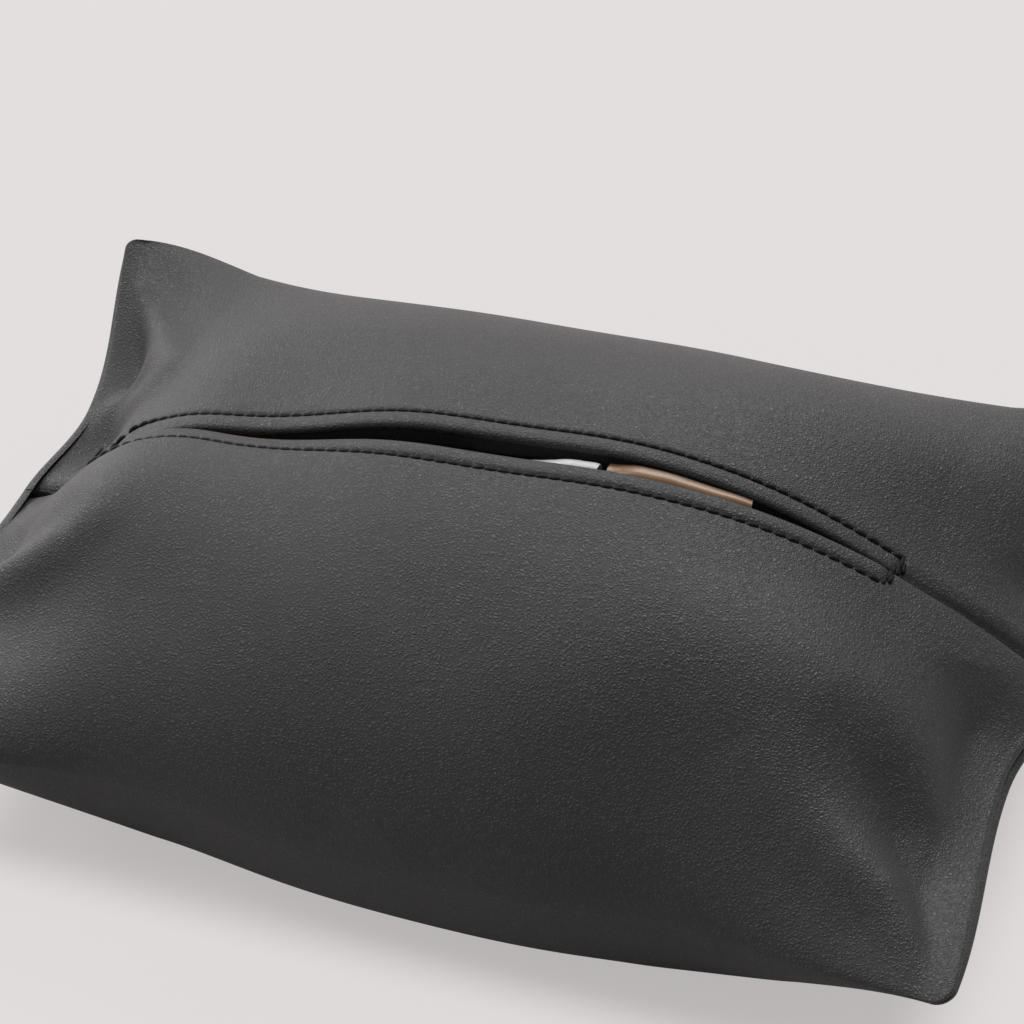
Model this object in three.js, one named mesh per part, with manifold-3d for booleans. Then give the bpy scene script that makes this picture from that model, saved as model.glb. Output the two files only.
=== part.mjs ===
// Soft leather pouch that holds a pack of tissues in a car: a pillow shape with flat-sewn ends,
// a dispensing slit left open in its crown seam, and a flap with press studs under its base.
// Millimetres, +Z up. X runs along the pouch and Y from its front to its rear. The origin is on
// the surface that the pouch rests on, under its middle.

import * as THREE from 'three';
import { mergeVertices } from 'three/addons/utils/BufferGeometryUtils.js';
import Module from 'manifold-3d';

const wasm = await Module();
wasm.setup();

// Driving dimensions of the leather pouch.
const pouchLength = 240;
const pouchWidth = 160;
const crownHeight = 71;
const leather = 1.4;
const foldHeight = 30;
const seamGap = 0.3;
const seat = 0.3;
const overrun = 5;
const mergeDistance = 0.0001;

// The crown falls to the end seams in a long arch. The two powers shape its cross section.
const crownArchStart = 11;
const crownArchPower = 2.15;
const crownPower = 2.2;
const crownRoundPower = 0.7;

// End seams: the middle hangs lower than the tips, and the line is an S from tip to tip.
const seamMiddleHeight = 23;
const tipHeight = 33;
const seamRisePower = 1.9;
const seamMiddleShort = 3;
const seamDip = 4.5;
const seamDipShare = 0.36;
const tipRadius = 8;
const seamRoll = 1.3;
const seamRollRun = 32;
const seamAllowance = 8;

// Dispensing slit and its turned-in hems.
const slitLength = 158;
const slitGap = 5.2;
const hemThickness = 1.2;
const hemWidth = 7;
const hemPastSlit = 2;

// Base: two long flat bearing strips, with a shallow hollow between them for the flap.
const foldReach = 18;
const bearingWidth = 20;
const hollowSlope = 10;
const hollowRise = 1.7;
const baseCornerCut = 45;
const baseRisePower = 1.5;

// Flap over the refill opening in the base, and the leather underlap that it closes on.
const openingLength = 156;
const openingEndRoom = 4;
const openingFrontMargin = 2;
const openingRearMargin = 4;
const flapCornerRadius = 6;
const underlapThickness = 1.2;
const underlapReach = 32;
const underlapSewnWidth = 8;
const underlapBendWidth = 8;

// Press studs, two sets of four pieces.
const studSpacing = 76;
const studHoleRadius = 1.8;
const capRadius = 6;
const capThickness = 1.05;
const capEdgeThickness = 0.65;
const capDomeShares = [0, 0.35, 0.7, 1];
const capPostRadius = 1.5;
const capPostRise = 0.2;
const socketFlangeRadius = 5.2;
const socketFlangeThickness = 0.4;
const socketRingRadius = 4.3;
const socketBore = 2.5;
const socketHeight = 1.8;
const ballRadius = 2.1;
const ballWaistRadius = 1.8;
const ballHeight = 1.2;
const ballTipThickness = 0.4;
const studFlangeRadius = 4.6;
const studFlangeThickness = 0.4;
const eyeletRadius = 1.1;
const backCapRadius = 5;
const backCapThickness = 0.5;

// Tissue pack: a thin film round a stack of folded tissues, with the next tissue standing in it.
const packEndRoom = 42;
const packSideRoom = 22;
const packShoulderShare = 0.92;
const packShoulderRoom = 1.8;
const packPower = 4;
const filmThickness = 0.5;
const filmSlotLength = 104;
const filmSlotWidth = 16;
const stackTopDrop = 7.5;
const leafCount = 9;
const leafGroove = 0.8;
const tornFlapStartX = 22;
const tornFlapEndX = 55;
const tornFlapBelowCrown = 0.9;
const tornFlapBendDrop = 6;
const tissueWidth = 64;
const tissueX = -12;
const tissueTuftWidth = 20;
const tissueTuftX = 10;
const tissueTuftDroop = 2;
const tissueTuftLean = 0.9;
const tissueBelowCrown = 1.5;
const tissueThickness = 0.9;
const tissueWaveLength = 16;
const tissuePocketGap = 0.5;
const tissueSlitClearance = 1.8;
const tissueLevelShares = [0, 0.45, 0.8, 1];

// Counts of facets.
const rowsPerHalf = 18;
const acrossSteps = 13;
const rollSteps = 4;
const hemRows = 28;
const packRows = 18;
const packColumns = 28;
const roundSegments = 16;
const tissueColumns = 20;
const tornFlapColumns = 8;
const bendSteps = 6;
const solvePasses = 6;
const acrossCrowding = 0.9;

// Places that follow from the sizes above.
const halfLength = pouchLength / 2;
const halfWidth = pouchWidth / 2;
const bearingOuter = halfWidth - foldReach;
const bearingInner = bearingOuter - bearingWidth;
const hollowEdge = bearingInner - hollowSlope;
const baseFlatLength = openingLength / 2 + openingEndRoom;
const flapHingeY = -(hollowEdge - openingFrontMargin);
const openingRearY = hollowEdge - openingRearMargin - underlapSewnWidth;
const underlapFreeY = openingRearY - underlapReach;
const underlapBendY = openingRearY - underlapBendWidth;
const studY = (underlapFreeY + underlapBendY) / 2;
const studPlaces = [-studSpacing / 2, studSpacing / 2];

// Heights of the pieces stacked at the base, worked out from below.
const flapLow = hollowRise;
const flapHigh = flapLow + leather;
const capLow = flapLow - seat - capThickness;
const socketLow = flapHigh + seat;
const socketHigh = socketLow + socketHeight;
const studFlangeLow = socketHigh + seat;
const ballLow = studFlangeLow - ballHeight;
const underlapLow = studFlangeLow + studFlangeThickness + seat;
const underlapHigh = underlapLow + underlapThickness;
const underlapSewnLow = flapHigh + seat;
const backCapLow = underlapHigh + seat;
const packLow = backCapLow + backCapThickness + seat;

const clamp01 = (value) => Math.min(1, Math.max(0, value));
const lerp = (from, to, share) => from + (to - from) * share;
const smooth = (share) => share * share * (3 - 2 * share);

// The outer skin and the inner face of the leather follow one form with different sizes.
const outerForm = {
  length: halfLength,
  middle: halfLength - seamMiddleShort,
  width: halfWidth,
  crown: crownHeight,
  floor: 0,
  roll: seamRoll,
};
const innerForm = {
  length: halfLength - seamAllowance,
  middle: halfLength - seamMiddleShort - seamAllowance,
  width: halfWidth - leather,
  crown: crownHeight - leather,
  floor: leather,
  roll: 0,
};

// Share of the way from a start length to the end seam, raised to a power.
function ramp(form, along, start, power) {
  const distance = Math.abs(along) * form.length;
  return clamp01((distance - start) / (form.length - start)) ** power;
}

// Half the open gap between the two panels at the crown seam.
function slitEdge(x) {
  const share = clamp01(Math.abs(x) / (slitLength / 2));
  return seamGap / 2 + (slitGap / 2 - seamGap / 2) * (1 - share * share);
}

// Plan line of the end seam, from the middle of the end (across 0) to a tip (across 1).
function endSeamX(form, across) {
  const toTip = (across - seamDipShare) / (1 - seamDipShare);
  const bump = across < seamDipShare
    ? Math.sin((Math.PI / 2) * (across / seamDipShare)) ** 2
    : Math.cos((Math.PI / 2) * toTip) ** 2;
  const cornerStart = 1 - tipRadius / form.width;
  const bow = clamp01(across / cornerStart) ** 2;
  const line = lerp(form.middle, form.length, bow) - seamDip * bump;
  const corner = clamp01((across - cornerStart) / (1 - cornerStart));
  return line - tipRadius * (1 - Math.sqrt(1 - corner * corner));
}

function endSeamZ(across) {
  return lerp(seamMiddleHeight, tipHeight, across ** seamRisePower);
}

// Share of the way up from the bearing strip to the side fold, along a quarter round.
function foldShare(form, across) {
  const share = clamp01((across * form.width - bearingOuter) / (form.width - bearingOuter));
  return 1 - Math.sqrt(1 - share * share);
}

// Height of the underside in the middle of the pouch.
function baseProfile(form, across, fold) {
  const hollow = clamp01((bearingInner - across * form.width) / (bearingInner - hollowEdge));
  return lerp(form.floor, fold, foldShare(form, across)) + hollowRise * smooth(hollow);
}

// Radius of the rolled seam, which closes to nothing at the tips.
function rollRadius(form, across) {
  return form.roll * Math.sqrt(1 - across ** 8);
}

// A point of the rear half's top or underside. along runs from -1 to 1 and across from 0 at the
// centre line to 1 at the side fold.
function skinPoint(form, layer, along, across) {
  const toEnd = Math.abs(along) ** 3;
  const roll = rollRadius(form, across);
  const x = along * lerp(form.length, endSeamX(form, across) - roll, toEnd);
  const edge = layer === 'top' ? slitEdge(x) : seamGap / 2;
  const y = lerp(edge, form.width, across);
  const fold = lerp(foldHeight, tipHeight, along * along);
  const belowTip = tipHeight - fold;
  const thicken = 2 * roll * ramp(form, along, form.length - seamRollRun, 1);
  if (layer === 'top') {
    const arch = ramp(form, along, crownArchStart, crownArchPower);
    const hump = (1 - across ** crownPower) ** crownRoundPower;
    const crown = lerp(fold, form.crown, hump);
    return [x, y, lerp(crown, endSeamZ(across) - belowTip, arch) + thicken];
  }
  const riseStart = baseFlatLength - baseCornerCut * across ** 4;
  const lift = ramp(form, along, riseStart, baseRisePower);
  const base = baseProfile(form, across, fold);
  const end = endSeamZ(across) - belowTip * foldShare(form, across);
  return [x, y, lerp(base, end, lift) - thicken];
}

// Share of the length at which the skin has a given x.
function alongAt(form, x, across) {
  const endX = endSeamX(form, across) - rollRadius(form, across);
  let along = x / form.length;
  for (let pass = 0; pass < solvePasses; pass += 1) {
    along = x / lerp(form.length, endX, Math.abs(along) ** 3);
  }
  return along;
}

// Height of the leather's inner face along the crown.
function crownInside(x) {
  return skinPoint(innerForm, 'top', alongAt(innerForm, x, 0), 0)[2];
}

// The pack lies on the base, and its shoulders stay clear of the hems where the crown has fallen.
const packLength = pouchLength - 2 * packEndRoom;
const packWidth = pouchWidth - 2 * packSideRoom;
const shoulderInside = crownInside((packLength / 2) * packShoulderShare) - seat - hemThickness;
const shoulderRound = (1 - packShoulderShare ** packPower) ** (1 / packPower);
const packHeight = (shoulderInside - packShoulderRoom - packLow) / ((1 + shoulderRound) / 2);
const packCentreZ = packLow + packHeight / 2;
const stackTop = packLow + packHeight - stackTopDrop;

// The next tissue stands in the stack, and its tuft ends between the lips of the slit.
const tissueLow = packLow + filmThickness + 2 * tissuePocketGap;
const tissueHigh = crownHeight - tissueBelowCrown;
const tissueWaveHeight = (slitGap - 2 * tissueSlitClearance - tissueThickness) / 2;

// A point on the roll of leather beside the end seam, at an angle from 90 degrees (on the skin)
// to -90 degrees (in the groove where the two layers are sewn).
function rollPoint(form, layer, side, across, angle) {
  const radius = rollRadius(form, across);
  const x = endSeamX(form, across) - radius + radius * Math.cos(angle);
  const lift = radius + radius * Math.sin(angle);
  const z = endSeamZ(across) + (layer === 'top' ? lift : -lift);
  const y = lerp(seamGap / 2, form.width, across);
  return [side * x, y, z];
}

const acrossShares = Array.from(
  { length: acrossSteps + 1 },
  (_, step) => Math.sin((Math.PI / 2) * (step / acrossSteps)) ** acrossCrowding,
);

// One loop round the pouch at each row: down the top from crown to fold, then back along the
// underside to the centre line of the base.
function skinRow(form, pointAt) {
  const top = acrossShares.map((across) => pointAt('top', across));
  const under = acrossShares.map((across) => pointAt('under', across)).reverse();
  return top.concat(under.slice(1));
}

function skinRows(form) {
  const rows = [];
  const angles = Array.from(
    { length: rollSteps },
    (_, step) => Math.PI / 2 - (Math.PI * (step + 1)) / rollSteps,
  );
  const rollRows = (side) => angles.map((angle) => (
    skinRow(form, (layer, across) => rollPoint(form, layer, side, across, angle))
  ));
  if (form.roll > 0) rows.push(...rollRows(-1).reverse());
  for (let step = -rowsPerHalf; step <= rowsPerHalf; step += 1) {
    const along = step / rowsPerHalf;
    rows.push(skinRow(form, (layer, across) => skinPoint(form, layer, along, across)));
  }
  if (form.roll > 0) rows.push(...rollRows(1));
  return rows;
}

// Triangles from a grid of points, left out where an edge has closed to nothing.
class Skin {
  constructor() {
    this.positions = [];
  }

  triangle(a, b, c) {
    this.positions.push(...a, ...b, ...c);
  }

  quad(a, b, c, d) {
    this.triangle(a, b, c);
    this.triangle(a, c, d);
  }

  grid(rows, flip) {
    for (let i = 0; i + 1 < rows.length; i += 1) {
      for (let j = 0; j + 1 < rows[i].length; j += 1) {
        const corners = [rows[i][j], rows[i + 1][j], rows[i + 1][j + 1], rows[i][j + 1]];
        this.quad(...(flip ? corners.reverse() : corners));
      }
    }
  }

  geometry() {
    const loose = new THREE.BufferGeometry();
    loose.setAttribute('position', new THREE.Float32BufferAttribute(this.positions, 3));
    const merged = mergeVertices(loose, mergeDistance);
    const index = Array.from(merged.index.array);
    const kept = [];
    for (let i = 0; i < index.length; i += 3) {
      const [a, b, c] = index.slice(i, i + 3);
      if (a !== b && b !== c && c !== a) kept.push(a, b, c);
    }
    merged.setIndex(kept);
    return merged;
  }
}

function toManifold(geometry) {
  const bare = geometry.clone();
  bare.deleteAttribute('normal');
  bare.deleteAttribute('uv');
  const merged = mergeVertices(bare, mergeDistance);
  return new wasm.Manifold(new wasm.Mesh({
    numProp: 3,
    vertProperties: new Float32Array(merged.attributes.position.array),
    triVerts: new Uint32Array(merged.index.array),
  }));
}

function fromManifold(solid) {
  const mesh = solid.getMesh();
  const geometry = new THREE.BufferGeometry();
  geometry.setAttribute('position', new THREE.BufferAttribute(mesh.vertProperties, 3));
  geometry.setIndex(new THREE.BufferAttribute(mesh.triVerts, 1));
  return geometry;
}

function boxBetween(low, high) {
  const box = new THREE.BoxGeometry(high[0] - low[0], high[1] - low[1], high[2] - low[2]);
  box.translate((low[0] + high[0]) / 2, (low[1] + high[1]) / 2, (low[2] + high[2]) / 2);
  return box;
}

function cylinderAlongZ(radius, x, y, z0, z1) {
  const cylinder = new THREE.CylinderGeometry(radius, radius, z1 - z0, roundSegments);
  cylinder.rotateX(Math.PI / 2);
  cylinder.translate(x, y, (z0 + z1) / 2);
  return cylinder;
}

// A panel of leather from the crown seam round its side fold to the centre line of the base.
function panelShell(side) {
  const place = (point) => [point[0], side * point[1], point[2]];
  const outer = skinRows(outerForm).map((row) => row.map(place));
  const inner = skinRows(innerForm).map((row) => row.map(place));
  const skin = new Skin();
  const rearSide = side > 0;
  skin.grid(outer, !rearSide);
  skin.grid(inner, rearSide);
  const rim = (rows, column) => rows.map((row) => row[column]);
  const last = outer[0].length - 1;
  skin.grid(rimStrip(rim(outer, 0), rim(inner, 0)), rearSide);
  skin.grid(rimStrip(rim(outer, last), rim(inner, last)), !rearSide);
  return skin.geometry();
}

// The outer rim has more rows than the inner one, because it also goes round the seam roll.
function rimStrip(outerRim, innerRim) {
  const extra = (outerRim.length - innerRim.length) / 2;
  const matched = outerRim.map((_, i) => (
    innerRim[Math.min(innerRim.length - 1, Math.max(0, i - extra))]
  ));
  return outerRim.map((point, i) => [point, matched[i]]);
}

function panel(side) {
  const reach = openingLength / 2;
  const window = side < 0
    ? boxBetween([-reach, flapHingeY, -overrun], [reach, overrun, overrun])
    : boxBetween([-reach, -overrun, -overrun], [reach, openingRearY, overrun]);
  return fromManifold(toManifold(panelShell(side)).subtract(toManifold(window)));
}

// The turned-in hem of a panel, under the edge of the slit.
function slitHem(side) {
  const upper = [];
  const lower = [];
  for (let row = 0; row <= hemRows; row += 1) {
    const reach = slitLength / 2 + hemPastSlit;
    const x = lerp(-reach, reach, row / hemRows);
    const edge = slitEdge(x) + seat;
    const depthAt = (y) => {
      const across = (y - slitEdge(x)) / (innerForm.width - slitEdge(x));
      return skinPoint(innerForm, 'top', alongAt(innerForm, x, across), across)[2] - seat;
    };
    const places = [edge, edge + hemWidth / 2, edge + hemWidth];
    upper.push(places.map((y) => [x, side * y, depthAt(y)]));
    lower.push(places.map((y) => [x, side * y, depthAt(y) - hemThickness]));
  }
  return closedSlab(upper, lower, side > 0);
}

// A closed solid between two grids of the same size.
function closedSlab(upper, lower, flip) {
  const skin = new Skin();
  const lastRow = upper.length - 1;
  const lastColumn = upper[0].length - 1;
  const column = (rows, j) => rows.map((row) => row[j]);
  const pairs = (first, second) => first.map((point, i) => [point, second[i]]);
  skin.grid(upper, !flip);
  skin.grid(lower, flip);
  skin.grid(pairs(column(upper, 0), column(lower, 0)), flip);
  skin.grid(pairs(column(upper, lastColumn), column(lower, lastColumn)), !flip);
  skin.grid(pairs(upper[0], lower[0]), !flip);
  skin.grid(pairs(upper[lastRow], lower[lastRow]), flip);
  return skin.geometry();
}

function flapPlate() {
  const reach = openingLength / 2 - seat;
  const hingeSide = flapHingeY + seat;
  const cornerX = reach - flapCornerRadius;
  const cornerY = openingRearY - seat - flapCornerRadius;
  const outline = new THREE.Shape();
  outline.moveTo(-reach, hingeSide);
  outline.lineTo(reach, hingeSide);
  outline.absarc(cornerX, cornerY, flapCornerRadius, 0, Math.PI / 2);
  outline.absarc(-cornerX, cornerY, flapCornerRadius, Math.PI / 2, Math.PI);
  for (const x of studPlaces) {
    const hole = new THREE.Path();
    hole.absarc(x, studY, studHoleRadius, 0, Math.PI * 2, true);
    outline.holes.push(hole);
  }
  const plate = new THREE.ExtrudeGeometry(outline, {
    depth: leather,
    bevelEnabled: false,
    curveSegments: roundSegments / 2,
  });
  plate.translate(0, 0, flapLow);
  return plate;
}

// Leather strip sewn inside the rear edge of the opening, which steps up over the studs.
function underlap() {
  const lowAt = (y) => {
    const share = clamp01((openingRearY - y) / underlapBendWidth);
    return lerp(underlapSewnLow, underlapLow, smooth(share));
  };
  const stations = [underlapFreeY];
  for (let step = 0; step <= bendSteps; step += 1) {
    stations.push(lerp(underlapBendY, openingRearY, step / bendSteps));
  }
  stations.push(openingRearY + underlapSewnWidth);
  const lower = stations.map((y) => new THREE.Vector2(y, lowAt(y)));
  const upper = stations.map((y) => new THREE.Vector2(y, lowAt(y) + underlapThickness)).reverse();
  const profile = new THREE.Shape(lower.concat(upper));
  const length = openingLength - 2 * openingEndRoom;
  const strip = new THREE.ExtrudeGeometry(profile, { depth: length, bevelEnabled: false });
  strip.translate(0, 0, -length / 2);
  strip.applyMatrix4(new THREE.Matrix4().makeBasis(
    new THREE.Vector3(0, 1, 0),
    new THREE.Vector3(0, 0, 1),
    new THREE.Vector3(1, 0, 0),
  ));
  let solid = toManifold(strip);
  for (const x of studPlaces) {
    const drill = cylinderAlongZ(studHoleRadius, x, studY, 0, packLow);
    solid = solid.subtract(toManifold(drill));
  }
  return fromManifold(solid);
}

// A turned piece from a closed profile of [radius, height] points, with its axis along Z.
function turned(profile) {
  const points = profile.map(([radius, z]) => new THREE.Vector2(radius, z));
  points.push(points[0].clone());
  const lathe = new THREE.LatheGeometry(points, roundSegments);
  lathe.rotateX(Math.PI / 2);
  return lathe;
}

// The cap lies in the hollow under the flap. Its post goes up through the flap and the socket.
function snapCap() {
  const top = flapLow - seat;
  const edgeLow = top - capEdgeThickness;
  const postTop = socketLow + socketFlangeThickness + capPostRise;
  const dome = capDomeShares.map((share) => (
    [capRadius * share, lerp(capLow, edgeLow, share * share)]
  ));
  return turned([
    ...dome,
    [capRadius, top],
    [capPostRadius, top],
    [capPostRadius, postTop],
    [0, postTop],
  ]);
}

function snapSocket() {
  const flangeTop = socketLow + socketFlangeThickness;
  const lipLow = socketHigh - socketFlangeThickness;
  return turned([
    [studHoleRadius, socketLow],
    [socketFlangeRadius, socketLow],
    [socketFlangeRadius, flangeTop],
    [socketRingRadius, flangeTop],
    [socketRingRadius, lipLow],
    [(socketRingRadius + socketBore) / 2, socketHigh],
    [socketBore, lipLow],
    [socketBore, flangeTop],
    [studHoleRadius, flangeTop],
  ]);
}

// The stud's ball sits in the socket's ring, and its bore takes the back post.
function snapStud() {
  const flangeTop = studFlangeLow + studFlangeThickness;
  const bore = eyeletRadius + seat;
  return turned([
    [0, ballLow],
    [ballWaistRadius, ballLow],
    [ballRadius, ballLow + ballTipThickness],
    [ballWaistRadius, studFlangeLow],
    [studFlangeRadius, studFlangeLow],
    [studFlangeRadius, flangeTop],
    [bore, flangeTop],
    [bore, ballLow + ballTipThickness],
    [0, ballLow + ballTipThickness],
  ]);
}

function snapPost() {
  const shankLow = ballLow + ballTipThickness + seat;
  return turned([
    [0, shankLow],
    [eyeletRadius, shankLow],
    [eyeletRadius, backCapLow],
    [backCapRadius, backCapLow],
    [backCapRadius, backCapLow + backCapThickness],
    [0, backCapLow + backCapThickness],
  ]);
}

// A rounded brick: rings of latitude from bottom to top, in a superellipsoid of equal powers.
function roundedBrick(length, width, height, centreZ, grooveAt) {
  const rows = [];
  const power = 2 / packPower;
  const signedPower = (value) => Math.sign(value) * Math.abs(value) ** power;
  for (let row = 0; row <= packRows; row += 1) {
    const latitude = Math.PI * (row / packRows) - Math.PI / 2;
    const z = centreZ + (height / 2) * signedPower(Math.sin(latitude));
    const spread = Math.abs(Math.cos(latitude)) ** power * (row % packRows === 0 ? 0 : 1);
    const inset = grooveAt(row);
    const ring = [];
    for (let column = 0; column <= packColumns; column += 1) {
      const turn = 2 * Math.PI * ((column % packColumns) / packColumns);
      const x = (length / 2 - inset) * spread * signedPower(Math.cos(turn));
      const y = (width / 2 - inset) * spread * signedPower(Math.sin(turn));
      ring.push([x, y, z]);
    }
    rows.push(ring);
  }
  const skin = new Skin();
  skin.grid(rows, true);
  return skin.geometry();
}

const noGroove = () => 0;

// Height of the pack's top at a place in plan.
function packTopAt(x, y) {
  const plan = Math.abs(x / (packLength / 2)) ** packPower + Math.abs(y / (packWidth / 2)) ** packPower;
  return packCentreZ + (packHeight / 2) * (1 - plan) ** (1 / packPower);
}

// The film's torn flap rises from the rear edge of the slot and ends between the slit's lips,
// against the front one.
function tornFlap() {
  const slotEdge = filmSlotWidth / 2;
  const sheet = (layer) => Array.from({ length: tornFlapColumns + 1 }, (_, column) => {
    const x = lerp(tornFlapStartX, tornFlapEndX, column / tornFlapColumns);
    const lip = slitEdge(x) - seat - filmThickness / 2;
    const crown = crownInside(x) + leather;
    const line = [
      [slotEdge + filmThickness, packTopAt(x, slotEdge) - 2 * filmThickness],
      [slotEdge - filmThickness, packTopAt(x, slotEdge) + filmThickness],
      [lip / 2, crown - tornFlapBendDrop],
      [0, crown - tornFlapBendDrop / 2],
      [-lip, crown - tornFlapBelowCrown],
    ];
    return line.map(([y, z]) => [x, y + (layer * filmThickness) / 2, z]);
  });
  return closedSlab(sheet(1), sheet(-1), false);
}

// The film is a shell, torn open along a long slot in its top.
function packFilm() {
  const outer = roundedBrick(packLength, packWidth, packHeight, packCentreZ, noGroove);
  const inside = 2 * filmThickness;
  const inner = roundedBrick(
    packLength - inside, packWidth - inside, packHeight - inside, packCentreZ, noGroove,
  );
  const slotShape = new THREE.Shape();
  const reach = filmSlotLength / 2 - filmSlotWidth / 2;
  slotShape.absarc(reach, 0, filmSlotWidth / 2, -Math.PI / 2, Math.PI / 2);
  slotShape.absarc(-reach, 0, filmSlotWidth / 2, Math.PI / 2, (3 * Math.PI) / 2);
  const slot = new THREE.ExtrudeGeometry(slotShape, {
    depth: packHeight,
    bevelEnabled: false,
    curveSegments: roundSegments / 2,
  });
  slot.translate(0, 0, packCentreZ);
  const shell = toManifold(outer).subtract(toManifold(inner)).subtract(toManifold(slot));
  return fromManifold(shell.add(toManifold(tornFlap())));
}

// The stack's folded leaves show as grooves round its sides. A pocket in its middle holds the
// tissue that comes out next.
function tissueStack() {
  const inside = 2 * (filmThickness + seat);
  const grooveRows = packRows / leafCount;
  const groove = (row) => (row % grooveRows === 0 && row > 0 && row < packRows ? leafGroove : 0);
  const block = roundedBrick(
    packLength - inside, packWidth - inside, packHeight - inside, packCentreZ, groove,
  );
  const half = tissueThickness / 2 + tissueWaveHeight + tissuePocketGap;
  const reach = tissueWidth / 2 + tissuePocketGap;
  const pocket = boxBetween(
    [tissueX - reach, -half, tissueLow - tissuePocketGap],
    [tissueX + reach, half, crownHeight],
  );
  const above = boxBetween([-packLength, -packWidth, stackTop], [packLength, packWidth, crownHeight]);
  return fromManifold(toManifold(block).subtract(toManifold(pocket)).subtract(toManifold(above)));
}

// The next tissue: a thin wavy sheet that narrows to the tuft that fingers take hold of.
function topTissue() {
  const sheet = (side) => Array.from({ length: tissueColumns + 1 }, (_, column) => {
    const share = (2 * column) / tissueColumns - 1;
    return tissueLevelShares.map((level) => {
      const gather = smooth(level);
      const half = lerp(tissueWidth, tissueTuftWidth, gather) / 2;
      const x = share * half + lerp(tissueX, tissueTuftX, gather);
      const wave = tissueWaveHeight * Math.sin((2 * Math.PI * x) / tissueWaveLength);
      const droop = level * tissueTuftDroop * share * share;
      const y = wave - tissueTuftLean * level ** 4 + (side * tissueThickness) / 2;
      return [x, y, lerp(tissueLow, tissueHigh, level) - droop];
    });
  });
  return closedSlab(sheet(1), sheet(-1), false);
}

const leatherLook = new THREE.MeshStandardMaterial({ color: 0x3a383a, roughness: 0.55, metalness: 0 });
const suedeLook = new THREE.MeshStandardMaterial({ color: 0x2a2829, roughness: 0.9, metalness: 0 });
const studLook = new THREE.MeshStandardMaterial({ color: 0x3b3c3f, roughness: 0.35, metalness: 1 });
const filmLook = new THREE.MeshStandardMaterial({ color: 0xaf9377, roughness: 0.5, metalness: 0 });
const tissueLook = new THREE.MeshStandardMaterial({ color: 0xe9e7e2, roughness: 0.95, metalness: 0 });

function named(name, geometry, material) {
  geometry.computeVertexNormals();
  const mesh = new THREE.Mesh(geometry, material);
  mesh.name = name;
  return mesh;
}

const pouch = new THREE.Group();
for (const [place, side] of [['front', -1], ['rear', 1]]) {
  pouch.add(named(`${place}_panel`, panel(side), leatherLook));
  pouch.add(named(`${place}_slit_hem`, slitHem(side), suedeLook));
}
pouch.add(named('base_underlap', underlap(), leatherLook));

const flap = new THREE.Group();
flap.add(named('base_flap', flapPlate(), leatherLook));
pouch.add(flap);

const studNames = ['left', 'right'];
studPlaces.forEach((x, i) => {
  const onFlap = { snap_cap: snapCap(), snap_socket: snapSocket() };
  const onUnderlap = { snap_stud: snapStud(), snap_post: snapPost() };
  for (const [carrier, pieces] of [[flap, onFlap], [pouch, onUnderlap]]) {
    for (const [kind, geometry] of Object.entries(pieces)) {
      const piece = named(`${kind}_${studNames[i]}`, geometry, studLook);
      piece.position.set(x, studY, 0);
      carrier.add(piece);
    }
  }
});

const pack = new THREE.Group();
pack.add(named('tissue_pack_film', packFilm(), filmLook));
pack.add(named('tissue_stack', tissueStack(), tissueLook));
pack.add(named('top_tissue', topTissue(), tissueLook));
pouch.add(pack);

export default pouch;
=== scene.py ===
# %% [markdown]
# A soft leather pouch for tissues
#
# This lesson dresses a fixed frame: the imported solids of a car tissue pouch. The frame gives every
# size and place, in metres, with X along the pouch, Y to its rear and Z up. Each visible piece is
# modelled here at its real size, finished, and told which body it rides on.

# %% Load the frame
import math

import bpy
import numpy as np
from mathutils import Matrix, Vector, noise


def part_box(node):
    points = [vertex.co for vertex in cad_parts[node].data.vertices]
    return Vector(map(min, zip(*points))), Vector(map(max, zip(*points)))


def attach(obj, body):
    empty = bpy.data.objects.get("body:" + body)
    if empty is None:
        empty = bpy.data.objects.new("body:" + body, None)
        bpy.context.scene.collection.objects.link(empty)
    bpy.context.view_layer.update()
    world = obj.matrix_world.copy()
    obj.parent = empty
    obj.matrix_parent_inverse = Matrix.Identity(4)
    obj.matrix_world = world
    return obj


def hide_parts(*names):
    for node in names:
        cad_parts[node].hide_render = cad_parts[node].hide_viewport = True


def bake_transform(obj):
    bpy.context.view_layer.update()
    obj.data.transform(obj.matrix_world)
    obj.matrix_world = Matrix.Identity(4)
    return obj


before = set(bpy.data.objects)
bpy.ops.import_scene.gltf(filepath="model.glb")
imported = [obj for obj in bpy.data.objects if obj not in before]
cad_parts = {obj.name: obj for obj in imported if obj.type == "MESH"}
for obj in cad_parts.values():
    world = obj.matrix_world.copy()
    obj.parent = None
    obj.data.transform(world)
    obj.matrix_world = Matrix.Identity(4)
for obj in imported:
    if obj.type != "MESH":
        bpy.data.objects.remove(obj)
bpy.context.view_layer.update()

mm = 0.001
print("solids in the frame:", len(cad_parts))

# %% [markdown]
# The camera comes first. A long lens from a little over 40 degrees above the floor, swung round to
# the pouch's right, gives the flat and calm perspective of a product picture. The camera is rolled
# slightly, as a hand-held one is.

# %% Camera
camera_azimuth = 22.8
camera_elevation = 43.4
camera_roll = -3.8
camera_distance = 934 * mm
camera_lens = 150.9
camera_sensor = 36
aim_point = Vector((-11.5 * mm, 35.2 * mm, 20 * mm))


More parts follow.
